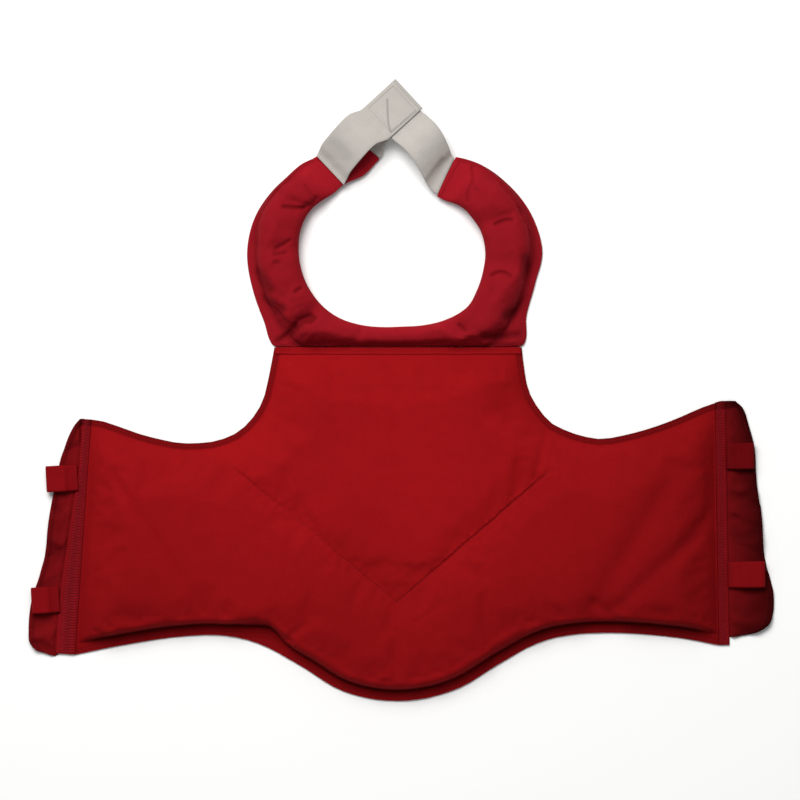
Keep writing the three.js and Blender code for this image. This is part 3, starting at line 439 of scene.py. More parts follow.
def mix(tree, factor, first, second, blend="MIX"):
    """Two colours mixed by a factor."""
    made = node(tree, "ShaderNodeMix", {"Factor": factor}, data_type="RGBA", blend_type=blend)
    for number, value in ((6, first), (7, second)):
        if isinstance(value, bpy.types.NodeSocket):
            tree.links.new(value, made.inputs[number])
        else:
            made.inputs[number].default_value = (*value, 1)
    return made.outputs[2]


# Scales of the cloth's noises, per metre, and how dull it is
BROAD_SCALE, MIDDLE_SCALE, FINE_SCALE, SPECK_SCALE = 7.0, 75.0, 900.0, 210.0
CLOTH_GLOSS, THREAD_GLOSS, SHEEN_ROUGHNESS = 0.03, 0.06, 0.45


def cloth_material(
    name, dark, light, yarn=0.0012, ribs=0.0, from_uv=False, relief=0.00025, sheen=0.06, mottle=0.3, lint=0.05
):
    """Woven cloth: yarn is its pitch in metres, ribs that of ribs along it, both in bump and colour."""
    material = bpy.data.materials.new(name)
    material.use_nodes = True
    tree = material.node_tree
    tree.nodes.clear()
    coordinates = node(tree, "ShaderNodeTexCoord").outputs["UV" if from_uv else "Object"]
    around = node(tree, "ShaderNodeTexCoord").outputs["Object"]
    split = node(tree, "ShaderNodeSeparateXYZ", {0: coordinates})
    waves = [calc(tree, "SINE", calc(tree, "MULTIPLY", split.outputs[k], 2 * math.pi / yarn)) for k in (0, 1)]
    weave = calc(tree, "MULTIPLY", waves[0], waves[1])
    if ribs:
        rib = calc(tree, "SINE", calc(tree, "MULTIPLY", split.outputs[1], 2 * math.pi / ribs))
        weave = calc(tree, "ADD", calc(tree, "MULTIPLY", weave, 0.4), rib)
    broad = node(
        tree, "ShaderNodeTexNoise", {"Vector": around, "Scale": BROAD_SCALE, "Detail": 3.0, "Roughness": 0.55}
    ).outputs[0]
    middle = node(
        tree, "ShaderNodeTexNoise", {"Vector": around, "Scale": MIDDLE_SCALE, "Detail": 4.0, "Roughness": 0.6}
    ).outputs[0]
    fine = node(tree, "ShaderNodeTexNoise", {"Vector": around, "Scale": FINE_SCALE, "Detail": 2.0}).outputs[0]
    tone = calc(tree, "ADD", calc(tree, "MULTIPLY", broad, 0.8), calc(tree, "MULTIPLY", middle, 0.5))
    tone = calc(tree, "ADD", calc(tree, "SUBTRACT", tone, 0.65), 0.5)
    tone = calc(tree, "ADD", calc(tree, "MULTIPLY", calc(tree, "SUBTRACT", tone, 0.5), mottle / 0.35), 0.5)
    tone = calc(tree, "ADD", tone, calc(tree, "MULTIPLY", calc(tree, "SUBTRACT", fine, 0.5), 0.5))
    tone = calc(tree, "ADD", tone, calc(tree, "MULTIPLY", weave, 0.05))
    factor = node(tree, "ShaderNodeClamp", {"Value": tone}).outputs[0]
    colour = mix(tree, factor, dark, light)
    specks = node(
        tree, "ShaderNodeTexVoronoi", {"Vector": around, "Scale": SPECK_SCALE, "Randomness": 1.0}
    ).outputs["Distance"]
    spots = calc(
        tree, "MULTIPLY", calc(tree, "LESS_THAN", specks, 0.05), calc(tree, "GREATER_THAN", middle, 0.58)
    )
    pale = tuple(0.6 * c + 0.2 for c in light)
    colour = mix(tree, calc(tree, "MULTIPLY", spots, lint), colour, pale)
    # Colour times each point's shade attribute, which carries painted shade and painted highlights as well as
    # plain tone.
    shade = node(tree, "ShaderNodeAttribute", attribute_name="shade").outputs["Fac"]
    colour = mix(
        tree, 1.0, colour, node(tree, "ShaderNodeCombineColor", {0: shade, 1: shade, 2: shade}).outputs[0],
        "MULTIPLY",
    )
    height = calc(tree, "ADD", calc(tree, "MULTIPLY", weave, 0.5), calc(tree, "MULTIPLY", fine, 0.6))
    grain = node(tree, "ShaderNodeBump", {"Strength": 0.6, "Distance": relief, "Height": height}).outputs[0]
    crumple = node(
        tree, "ShaderNodeBump", {"Strength": 0.35, "Distance": 0.0011, "Height": middle, "Normal": grain}
    ).outputs[0]
    rough = calc(tree, "ADD", calc(tree, "MULTIPLY", fine, 0.15), 0.78)
    shader = node(
        tree, "ShaderNodeBsdfPrincipled", {"Base Color": colour, "Roughness": rough, "Normal": crumple}
    )
    shader.inputs["Sheen Weight"].default_value = sheen
    shader.inputs["Sheen Roughness"].default_value = SHEEN_ROUGHNESS
    shader.inputs["Sheen Tint"].default_value = (*[c / max(light) for c in light], 1)
    shader.inputs["Specular IOR Level"].default_value = CLOTH_GLOSS
    node(tree, "ShaderNodeOutputMaterial", {"Surface": shader.outputs[0]})
    return material


def thread_material(name, colour):
    """Sewing thread with a fine grain."""
    material = bpy.data.materials.new(name)
    material.use_nodes = True
    tree = material.node_tree
    tree.nodes.clear()
    around = node(tree, "ShaderNodeTexCoord").outputs["Object"]
    grain = node(tree, "ShaderNodeTexNoise", {"Vector": around, "Scale": 400.0, "Detail": 2.0}).outputs[0]
    shade = mix(tree, grain, tuple(c * 0.6 for c in colour), colour)
    bump = node(tree, "ShaderNodeBump", {"Strength": 0.4, "Distance": 0.0002, "Height": grain}).outputs[0]
    shader = node(tree, "ShaderNodeBsdfPrincipled", {"Base Color": shade, "Normal": bump})
    shader.inputs["Roughness"].default_value = 0.7
    shader.inputs["Specular IOR Level"].default_value = THREAD_GLOSS
    node(tree, "ShaderNodeOutputMaterial", {"Surface": shader.outputs[0]})
    return material


RED_DARK, RED_LIGHT = (0.215, 0.0036, 0.0050), (0.335, 0.0056, 0.0078)
panel_cloth = cloth_material("panel_canvas", RED_DARK, RED_LIGHT)
collar_cloth = cloth_material("collar_canvas", (0.18, 0.0045, 0.0085), (0.29, 0.0078, 0.0140), yarn=0.0011)
flap_cloth = cloth_material("flap_canvas", (0.135, 0.0030, 0.0046), (0.225, 0.0052, 0.0074), yarn=0.0011)
band_cloth = cloth_material(
    "band_elastic", (0.155, 0.0034, 0.0056), (0.245, 0.0060, 0.0094), yarn=0.0014, ribs=0.0027, relief=0.0003
)
loop_cloth = cloth_material(
    "loop_webbing", (0.16, 0.0026, 0.0042), (0.24, 0.0042, 0.0066), yarn=0.0012, from_uv=True, relief=0.0003
)
elastic = cloth_material(
    "neck_elastic", (0.36, 0.336, 0.31), (0.535, 0.50, 0.466),
    yarn=0.0016, ribs=0.0016, from_uv=True, relief=0.00025, mottle=0.3, lint=0.03,
)
red_thread = thread_material("red_thread", (0.33, 0.010, 0.018))
band_thread = thread_material("band_thread", (0.27, 0.009, 0.016))
flap_thread = thread_material("flap_thread", (0.15, 0.0045, 0.0065))
pale_thread = thread_material("pale_thread", (0.48, 0.455, 0.41))


def stitch_piece(name, runs, material, length=2.4, gap=0.9, radius=0.32):
    """Thread stitches along runs of points that lie on a surface."""
    ring = [(math.cos(a), math.sin(a)) for a in np.linspace(0, 2 * math.pi, 5, endpoint=False)]
    points, faces = [], []
    for run in runs:
        run = np.asarray(run, float)
        if len(run) < 2:
            continue
        steps = even(run, (length + gap) / 2)
        for a, b in zip(steps[0:-1:2], steps[1::2]):
            way = b - a
            size = np.linalg.norm(way)
            if size < 0.2:
                continue
            way = way / size
            middle = (a + b) / 2
            side = np.cross(way, (0, 0, 1))
            side = side / max(np.linalg.norm(side), 1e-9)
            up = np.cross(side, way)
            first = len(points)
            half = length / 2
            for out, thick in ((-half, 0.35), (-half * 0.6, 0.95), (half * 0.6, 0.95), (half, 0.35)):
                for c, s in ring:
                    points.append(middle + way * out + (side * c + up * s) * radius * thick)
            faces += grid_faces(4, 5, wrap=True, first=first)
            faces.append(tuple(first + k for k in range(5)))
            faces.append(tuple(first + 15 + k for k in reversed(range(5))))
    return mesh_piece(name, np.array(points), faces, material)


def thread_tube(name, run, material, radius=0.35):
    """A thread that lies along a line of points."""
    run = np.asarray(run, float)
    ways = np.gradient(run, axis=0)
    ways /= np.linalg.norm(ways, axis=1)[:, None]
    sides = np.cross(ways, (0, 0, 1))
    sides /= np.maximum(np.linalg.norm(sides, axis=1), 1e-9)[:, None]
    ups = np.cross(sides, ways)
    points = []
    for centre, side, up in zip(run, sides, ups):
        for angle in np.linspace(0, 2 * math.pi, 5, endpoint=False):
            points.append(centre + radius * (side * math.cos(angle) + up * math.sin(angle)))
    faces = grid_faces(len(run), 5, wrap=True)
    faces.append(tuple(range(5)))
    faces.append(tuple(5 * (len(run) - 1) + k for k in reversed(range(5))))
    return mesh_piece(name, np.array(points), faces, material)


def underside_ring(name):
    """Ring of the edges that only one face of the flat underside has."""
    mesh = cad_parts[name].data
    keys = [(round(v.co.x * 1e5), round(v.co.y * 1e5)) for v in mesh.vertices]
    edges = set()
    for face in mesh.polygons:
        if max(mesh.vertices[i].co.z for i in face.vertices) > 1e-5:
            continue
        ring = [keys[i] for i in face.vertices]
        for a, b in zip(ring, ring[1:] + ring[:1]):
            if (b, a) in edges:
                edges.remove((b, a))
            else:
                edges.add((a, b))
    following = dict(edges)
    start = min(following)
    ring = [start]
    while following[ring[-1]] != start:
        ring.append(following[ring[-1]])
    return np.array([(x / 100 - CENTRE_X, y / 100 - SEAM_Y) for x, y in ring])


def panel_parts(outline):
    """The panel's outline without its two straight ends, and the ends."""
    ends = [np.array(PANEL_CORNERS[side]) for side in ("left", "right")]
    sides, straight = [], []
    for a, b in zip(outline, np.roll(outline, -1, axis=0)):
        at_end = any(nearest_on(np.array([a, b]), end)[0].max() < 1.5 for end in ends)
        (straight if at_end else sides).append((a, b))
    return sides, straight


def edge_depths(points, sides, straight):
    """Distance inside each kind of edge: lower, upper, neck seam and straight ends."""
    depths = {kind: np.full(len(points), 1e9) for kind in ("lower", "upper", "seam", "end")}
    for a, b in sides:
        kind = "upper"
        if (a[1] + b[1]) / 2 < LOWER_EDGE_BELOW:
            kind = "lower"
        elif min(a[1], b[1]) > SEAM_EDGE_ABOVE:
            kind = "seam"
        depths[kind] = np.minimum(depths[kind], nearest_on(points, [a, b])[0])
    for a, b in straight:
        depths["end"] = np.minimum(depths["end"], nearest_on(points, [a, b])[0])
    return depths


def depth_inside(points, sides, straight):
    """Depth inside the sewn edge, measured so that the straight ends have a narrow lip."""
    depths = edge_depths(points, sides, straight)
    depths["end"] += EDGE_WIDTH - END_LIP
    return np.min(list(depths.values()), axis=0)


def inside(points, outline):
    """Which points lie inside a closed outline."""
    within = np.zeros(len(points), bool)
    x, y = points.T
    for (ax, ay), (bx, by) in zip(outline, np.roll(outline, -1, axis=0)):
        crosses = (ay > y) != (by > y)
        with np.errstate(divide="ignore", invalid="ignore"):
            at = ax + (y - ay) * (bx - ax) / (by - ay)
        within ^= crosses & (x < at)
    return within


def lattice(low, high, step, seed):
    """Staggered points over a box, moved a little so that no four share a circle."""
    x = np.arange(low[0], high[0], step)
    y = np.arange(low[1], high[1], step * 0.866)
    grid_x, grid_y = np.meshgrid(x, y)
    grid_x = grid_x + (np.arange(len(y)) % 2)[:, None] * step / 2
    shake = np.random.RandomState(seed).uniform(-0.08, 0.08, (2, *grid_x.shape)) * step
    return np.column_stack([(grid_x + shake[0]).ravel(), (grid_y + shake[1]).ravel()])


def fill(outline, points):
    """Triangles that fill an outline through the points inside it, and the outline's own numbers."""
    count = len(outline)
    everything = [Vector(p) for p in np.vstack([outline, points])]
    ring = [(i, (i + 1) % count) for i in range(count)]
    made, _, faces, origins, _, _ = delaunay_2d_cdt(everything, ring, [], 1, 1e-4)
    number = {}
    for new, old in enumerate(origins):
        for i in old:
            number[i] = new
    return np.array([tuple(p) for p in made]), [tuple(f) for f in faces], [number[i] for i in range(count)]


def seam_relief(points):
    """Groove of the stitched V with its puckers, the painted shade along its groove, and the painted
    highlights of the flecks above it.
    """
    x, y = points.T
    groove = np.zeros(len(points))
    dark = np.zeros(len(points))
    light = np.zeros(len(points))
    for number, start in enumerate(SEAM_STARTS):
        gap, along = nearest_on(points, [start, SEAM_POINT])
        length = math.dist(start, SEAM_POINT)
        way = (np.array(SEAM_POINT) - start) / length
        upward = np.array([-way[1], way[0]]) * math.copysign(1, way[0])
        aside = (points - start) @ upward - 0.5 * noise(x, y, 9, 61 + number)
        within = (along > 0) & (along < length)
        gap = np.where(within, np.abs(aside), gap)
        shares, depths = zip(*SEAM_DEPTHS[start[0]])
        deep = np.interp(along / length, shares, depths)
        groove += deep * (1.15 * np.exp(-((gap / 1.2) ** 2)) + 0.6 * np.exp(-((gap / 6) ** 2)))
        pucker = np.sin(along * 2 * math.pi / 5.0 + 2.2 * noise(x, y, 16, 5 + number))
        groove += deep * 0.32 * pucker * np.exp(-((gap / 4) ** 2)) * (1 - 0.5 * np.exp(-((gap / 1.2) ** 2)))
        # Painted shade along the groove line.
        dark = np.maximum(dark, deep * np.exp(-((gap / 1.2) ** 2)))
        # Painted highlights on the raised puckers above the groove.
        painted_fleck_highlight = np.clip(noise(x, y, 2.4, 71) + 0.15, 0, 1) * np.exp(-(((aside - 1.9) / 1.0) ** 2))
        light = np.maximum(light, deep * painted_fleck_highlight * within)
    return groove - 0.6 * light, dark, light


def soft_rise(depth, first, slope):
    """Share of the padding's height on a soft slope that starts at a depth inside the edge."""
    share = np.clip((depth - first) / slope, 0, 1)
    return 1 - (1 - share) ** 2.1


def panel_surface(points, depths):
    """Height of the panel's front and its shade, which holds painted shade and painted highlights."""
    x, y = points.T
    lower = depths["lower"] - np.interp(x, *zip(*LOWER_SHIFT))
    upper = depths["upper"]
    steep = np.clip((lower - GROOVE_DEPTH_IN + 0.3) / LOWER_SLOPE, 0, 1)
    rise = (1 - (1 - steep) ** 6) * soft_rise(upper, HEM_WIDTH, UPPER_SLOPE)
    seam_share = np.clip((depths["seam"] - 0.5) / SEAM_SLOPE, 0, 1)
    rise *= (0.5 * seam_share + 0.5 * smoothstep(0, 1, seam_share)) * soft_rise(depths["end"], 0.5, END_SLOPE)
    top = PANEL_TOP - 0.6 + 1.1 * noise(x, y, 95, 1) + 0.5 * noise(x, y, 38, 2) + 0.22 * noise(x, y, 15, 3)
    top -= crease_depth(points, PANEL_FOLDS)
    groove, dark, light = seam_relief(points)
    top -= groove
    edge = EDGE_TOP + 0.3 * noise(x, y, 22, 4) + 0.25 * noise(x, y, 9, 8) * (lower < EDGE_WIDTH)
    fold = np.exp(-(((lower - GROOVE_DEPTH_IN) / 1.7) ** 2)) * smoothstep(9, 24, depths["end"])
    edge -= (EDGE_TOP - GROOVE_BOTTOM) * fold
    edge -= 0.5 * np.exp(-(((lower - 3.6) / 0.9) ** 2))
    rim = np.min([lower, upper], axis=0)
    edge -= 0.9 * (1 - smoothstep(0, 1.0, rim))
    height = edge + (top - edge) * rise
    ripple = np.exp(-(((lower - EDGE_WIDTH - 6) / 4) ** 2))
    height += ripple * 0.9 * noise(x, y, 12, 7)
    strength = np.interp(x, *zip(*LOWER_GROOVE_SHADOW))
    # Painted shade along the V's groove, and painted highlights on its puckers.
    shade = 1 - 0.22 * dark + 0.35 * light
    # Painted shadow in the deep fold along the lower edge.
    shade *= 1 - 0.72 * strength * fold
    # Painted shade on the flat lip at the straight ends.
    shade *= 1 - 0.06 * (1 - smoothstep(0, 3, depths["end"]))
    # Painted shade: darker towards the right, the far left and the bottom, where the light falls off.
    shade *= (
        (1 - 0.27 * smoothstep(20, 320, x))
        * (1 - 0.13 * smoothstep(160, 300, -x))
        * (1 - 0.2 * smoothstep(150, 330, -y))
    )
    # Painted shade on the lower flange under the padding.
    shade *= 1 - 0.12 * (1 - smoothstep(EDGE_WIDTH - 3, EDGE_WIDTH, lower))
    shade *= 1 - 0.36 * (1 - smoothstep(HEM_WIDTH - 0.6, HEM_WIDTH + 0.6, upper))
    # Painted shade along the groove of the edge stitching.
    shade *= 1 - 0.12 * np.exp(-(((rim - 3.6) / 0.7) ** 2))
    return np.maximum(height, GROOVE_BOTTOM), shade


def panel_swelling(outline, sides, straight, step=5.0):
    """How far the front's cloth swells, as a table over a square grid, from a cloth simulation."""
    low, high = outline.min(0) - step, outline.max(0) + step
    nx, ny = ((high - low) / step).astype(int) + 2
    grid = np.array([(low[0] + i * step, low[1] + j * step) for j in range(ny) for i in range(nx)])
    depth = np.where(inside(grid, outline), depth_inside(grid, sides, straight), -1)
    depths = edge_depths(grid, sides, straight)
    held = depth > EDGE_WIDTH - 2
    height, _ = panel_surface(grid, depths)
    kept = -np.ones(len(grid), int)
    kept[held] = np.arange(held.sum())
    faces = []
    for j in range(ny - 1):
        for i in range(nx - 1):
            corners = [j * nx + i, j * nx + i + 1, (j + 1) * nx + i + 1, (j + 1) * nx + i]
            if all(held[c] for c in corners):
                faces.append(tuple(kept[c] for c in corners))
    sheet = mesh_piece(
        "swelling", np.column_stack([grid[held], height[held]]), faces, panel_cloth
    )
    seams = np.min([nearest_on(grid[held], [start, SEAM_POINT])[0] for start in SEAM_STARTS], axis=0)
    pinned = (depth[held] < EDGE_WIDTH + step * 1.2) | (seams < step * 0.6)
    moves = swell(sheet, pinned, pressure=1.5, slack=0.012, cap=3.5)
    bpy.data.objects.remove(sheet)
    table = np.zeros((len(grid), 3))
    table[held] = moves
    return low, step, table.reshape(ny, nx, 3)


def look_up(points, low, step, table):
    """Values of a square grid's table at points between its corners."""
    u, v = ((points - low) / step).T
    i = np.clip(u.astype(int), 0, table.shape[1] - 2)
    j = np.clip(v.astype(int), 0, table.shape[0] - 2)
    f, g = (u - i)[:, None], (v - j)[:, None]
    lower = table[j, i] * (1 - f) + table[j, i + 1] * f
    upper = table[j + 1, i] * (1 - f) + table[j + 1, i + 1] * f
    return lower * (1 - g) + upper * g


def panel_zone(points, sides, straight, seam_gap):
    """Which lattice fills each place: 0 the coarse one, 1 the fine one, 2 the finest."""
    depths = edge_depths(points, sides, straight)
    zone = np.zeros(len(points), int)
    near_rim = np.minimum(depths["upper"], depths["seam"]) < 12
    zone[(depths["lower"] < 27) | near_rim | (depths["end"] < 5)] = 1
    zone[(seam_gap > 5) & (seam_gap < 9)] = 1
    zone[(depths["lower"] > 8) & (depths["lower"] < 17.5)] = 2
    zone[(depths["upper"] > HEM_WIDTH - 1.6) & (depths["upper"] < HEM_WIDTH + 1.6)] = 2
    return zone


def build_panel():
    """The panel's cloth: front on fine lattices of points, plain flat back, and the rim between them."""
    outline = underside_ring("chest_panel")
    sides, straight = panel_parts(outline)
    rim = even(outline, 2.2, closed=True)
    low, high = outline.min(0), outline.max(0)
    seam_rows = []
    for start in SEAM_STARTS:
        line = even([start, SEAM_POINT], 1.2)
        way = (np.array(SEAM_POINT) - start) / math.dist(start, SEAM_POINT)
        side = np.array([-way[1], way[0]])
        for offset in (-4.0, -2.6, -1.6, -0.9, -0.4, 0.0, 0.4, 0.9, 1.6, 2.6, 4.0):
            seam_rows.append(line + side * offset)
    kept = [np.vstack(seam_rows)]
    for zone, step in enumerate((3.0, 1.7, 1.2)):
        points = lattice(low, high, step, 11 + zone)
        points = points[inside(points, outline)]
        seam_gap = np.min([nearest_on(points, [s, SEAM_POINT])[0] for s in SEAM_STARTS], axis=0)
        good = panel_zone(points, sides, straight, seam_gap) == zone
        good &= (seam_gap > 5.0) & (nearest_on(points, outline, closed=True)[0] > 1.1)
        kept.append(points[good])
    points, faces, ring = fill(rim, np.vstack(kept))
    depth = depth_inside(points, sides, straight)
    height, shade = panel_surface(points, edge_depths(points, sides, straight))
    front = np.column_stack([points, height])
    ease = smoothstep(EDGE_WIDTH + 2, EDGE_WIDTH + 14, depth)[:, None]
    front += look_up(points, *panel_swelling(outline, sides, straight)) * ease
    back_inside = lattice(low, high, 13.0, 13)
    back_inside = back_inside[inside(back_inside, outline)]
    back_inside = back_inside[nearest_on(back_inside, outline, closed=True)[0] > 5]
    back, back_faces, back_ring = fill(rim, back_inside)
    first = len(front)
    everything = np.vstack([front, np.column_stack([back, np.zeros(len(back))])])
    all_faces = list(faces) + [tuple(first + i for i in reversed(face)) for face in back_faces]
    for k in range(len(ring)):
        n = (k + 1) % len(ring)
        all_faces.append((ring[n], ring[k], first + back_ring[k], first + back_ring[n]))
    tones = np.concatenate([shade, np.full(len(back), 0.8)])
    piece = mesh_piece("panel_cover", everything, all_faces, panel_cloth, tones)
    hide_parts("chest_panel")
    return outline, sides, straight


def inset_run(outline, sides, straight, depth_wanted, step=1.2):
    """Stretches of the line that lies at a depth inside the panel's edge."""
    line = even(outline, step, closed=True)
    way = np.roll(line, -3, axis=0) - np.roll(line, 3, axis=0)
    way /= np.linalg.norm(way, axis=1)[:, None]
    area = np.sum(outline[:, 0] * np.roll(outline[:, 1], -1) - np.roll(outline[:, 0], -1) * outline[:, 1])
    inward = np.column_stack([-way[:, 1], way[:, 0]]) * (1 if area > 0 else -1)
    moved = line + inward * depth_wanted
    good = np.abs(nearest_on(moved, outline, closed=True)[0] - depth_wanted) < 0.35
    good &= depth_inside(moved, sides, straight) < depth_wanted + 0.5
    runs, run = [], []
    for point, fine in zip(moved, good):
        if fine:
            run.append(point)
        elif run:
            runs.append(np.array(run))
            run = []
    if run:
        runs.append(np.array(run))
    return [r for r in runs if len(r) > 4]


def build_panel_stitches(outline, sides, straight):
    runs = []
    for run in inset_run(outline, sides, straight, EDGE_STITCH_DEPTH):
        height, _ = panel_surface(run, edge_depths(run, sides, straight))
        runs.append(np.column_stack([run, height + 0.25]))
    stitch_piece("edge_stitches", runs, red_thread, length=2.6, gap=1.0, radius=0.3)
    seam_runs = []
    for start in SEAM_STARTS:
        line = even([start, SEAM_POINT], 1.0)
        height, _ = panel_surface(line, edge_depths(line, sides, straight))
        seam_runs.append(np.column_stack([line, height]))
    stitch_piece("seam_stitches", seam_runs, red_thread, length=2.3, gap=1.1, radius=0.25)


def rows_at(places):
    """Collar rows at fractional row numbers, blended smoothly."""
    last = len(COLLAR_ROWS) - 1
    index = np.minimum(np.floor(places).astype(int), last - 1)
    part = (places - index)[:, None]
    p0, p1, p2, p3 = (COLLAR_ROWS[np.clip(index + k, 0, last)] for k in (-1, 0, 1, 2))
    square, cube = part**2, part**3
    slope_in, slope_out = (p2 - p0) / 2, (p3 - p1) / 2
    return (
        (2 * cube - 3 * square + 1) * p1
        + (cube - 2 * square + part) * slope_in
        + (3 * square - 2 * cube) * p2
        + (cube - square) * slope_out
    )


def neck_place(turn, distance):
    """Place at an angle from straight down and a distance from the neck's centre."""
    angle = math.radians(turn)
    return np.array(
        [NECK_CENTRE[0] + math.sin(angle) * distance, NECK_CENTRE[1] - math.cos(angle) * distance]
    )


def collar_sizes(row):
    """Inner distance, padding's width, edge's width, height and lift of a section, in millimetres."""
    turn, _, inner, tube, edge, fullness, lift = row
    facing = math.cos(math.radians(turn))
    to_seam = (NECK_CENTRE[1] - CLEARANCE) / facing if facing > 0 else 1e9
    inner *= NECK_RADIUS
    tube = min(tube * COLLAR_WIDTH, to_seam - inner - SEAM_LIP)
    edge = min(edge * COLLAR_EDGE, to_seam - inner - tube)
    dented = 1 - sum(deep * math.exp(-(((turn - at) / wide) ** 2)) for at, wide, deep in COLLAR_DENTS)
    height = (TIP_THICKNESS + (COLLAR_HEIGHT - TIP_THICKNESS) * fullness) * dented
    return inner, tube, edge, height, max(lift, 0) * TIP_LIFT


def collar_foot(row):
    """Height, as a share of the padding's, at which it meets the edge outside it."""
    turn = row[0]
    return 0.27 + 0.23 * float(smoothstep(84, 112, turn) + smoothstep(-96, -118, turn))


def collar_edge_top(row, share):
    """Height of the flat edge outside the padding, at a share of its width."""
    _, _, edge, height, _ = collar_sizes(row)
    base = min(EDGE_TOP, height * 0.4)
    puff = max(edge - 10, 0) * 0.3 * math.sin(math.pi * share)
    return base + max(height * collar_foot(row) - base, 0) * (1 - share) ** 1.8 + puff


def build_collar():
    last = len(COLLAR_ROWS) - 1
    count = last * 9 + 1
    rows = rows_at(np.linspace(0, last, count))
    tube_shape = even(spline(COLLAR_PROFILE, 8), PROFILE_STEP)
    points, held, shade, ease = [], [], [], []
    for row in rows:
        inner, tube, edge, height, lift = collar_sizes(row)
        edge_top = min(EDGE_TOP, height * 0.4)
        outs = list(tube_shape[:-1, 0] * tube)
        ups = list(np.maximum(tube_shape[:-1, 1], collar_foot(row) * (tube_shape[:-1, 0] > 0.8)) * height)
        padded = len(outs)
        for share in np.linspace(0, 1, 7):
            outs.append(tube + edge * share)
            ups.append(collar_edge_top(row, share))
        outs.append(tube + edge + 0.25)
        ups.append(edge_top * 0.5)
        top = len(outs)
        for share in np.linspace(0, 1, 9, endpoint=False):
            outs.append(tube + edge + (tube * 0.2 - tube - edge) * share)
            ups.append(0)
        whole = tube + edge
        a = neck_place(row[0], inner)
        b = neck_place(row[0] + row[1], inner + whole)
        for k, (out, up) in enumerate(zip(outs, ups)):
            x, y = a + (b - a) * out / whole
            points.append((x, y, lift + up))
            held.append(k >= padded or row[5] < 0.3)
            ease.append(smoothstep(0.0, 0.45, out / tube) * (0.15 + 0.85 * smoothstep(0.45, 0.85, row[5])))
            # Painted shade in the crease where the padding meets the flat edge.
            foot = math.exp(-(((out - tube * 1.01) / 3.2) ** 2)) if edge > 1 else 0
            # Lighter at the flat tips, and painted light along the low bottom of the collar.
            lighter_tips_and_painted_light = 1 + 0.22 * (1 - smoothstep(0.1, 0.6, row[5])) + 0.14 * (
                1 - smoothstep(34, 52, abs(row[0]))
            )
            on_edge = padded <= k < top and out > tube + 4
            shade.append((1 - 0.22 * foot) * (1.06 if on_edge else 1) * lighter_tips_and_painted_light)
        around = len(outs)
    points = np.array(points)
    faces = grid_faces(count, around, wrap=True)
    faces.append(tuple(reversed(range(around))))
    faces.append(tuple((count - 1) * around + k for k in range(around)))
    piece = mesh_piece("collar_cover", points, faces, collar_cloth, shade)
    moves = swell(piece, np.array(held), pressure=3.0, slack=0.035, cap=4.0)
    shaped = points + moves * np.array(ease)[:, None]
    piece.data.vertices.foreach_set("co", place(shaped).astype(np.float32).ravel())
    piece.data.update()
    subdivide(piece)
    shaped, tones = read_points(piece), read_shade(piece)
    x, y, z = shaped.T
    full = smoothstep(2.5, 8, z)
    deep = crease_depth(shaped[:, :2], COLLAR_CREASES)
    shaped[:, 2] -= deep * full
    bumps = 1.2 * noise(x, y, 26, 21) + 0.55 * noise(x, y, 11, 22) + 0.2 * noise(x, y, 5, 23)
    shaped[:, 2] += full * bumps * np.clip(z / COLLAR_HEIGHT, 0, 1)
    shaped[:, 2] += (z < 6) * (z > 1.5) * 0.5 * noise(x, y, 14, 24)
    shaped[:, 2] = np.maximum(shaped[:, 2], 0)
    # Painted shade in the creases.
    tones = tones * (1 - 0.35 * np.clip(deep / 3, 0, 1) * full)
    piece.data.vertices.foreach_set("co", place(shaped).astype(np.float32).ravel())
    piece.data.attributes["shade"].data.foreach_set("value", tones)
    piece.data.update()
    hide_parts("collar_pad")
    return rows


def collar_point(row, out, up):
    """Point on a collar section: out in millimetres from its inner edge, up from its underside."""
    inner, tube, edge, _, lift = collar_sizes(row)
    whole = tube + edge
    a = neck_place(row[0], inner)
    b = neck_place(row[0] + row[1], inner + whole)
    x, y = a + (b - a) * out / whole
    return np.array([x, y, lift + up])


def build_collar_stitches(rows):
    edge_runs, run = [], []
    for row in rows:
        _, tube, edge, _, _ = collar_sizes(row)
        if edge > STITCHED_EDGE:
            run.append(collar_point(row, tube + edge * 0.7, collar_edge_top(row, 0.7) + 0.2))
        elif len(run) > 3:
            edge_runs.append(np.array(run))
            run = []
        else:
            run = []
    if len(run) > 3:
        edge_runs.append(np.array(run))
    stitch_piece(
        "collar_edge_stitches", edge_runs, red_thread, length=2.5, gap=1.0, radius=0.3
    )
    tip_runs = []
    for at in TIP_STITCH_ROWS:
        row = rows_at(np.array([at]))[0]
        _, tube, edge, height, _ = collar_sizes(row)
        tip_runs.append(
            np.array(
                [collar_point(row, (tube + edge) * s, height + 0.2) for s in np.linspace(0.06, 0.94, 12)]
            ),
        )
    stitch_piece("collar_tip_stitches", tip_runs, red_thread, length=2.3, gap=1.0, radius=0.3)


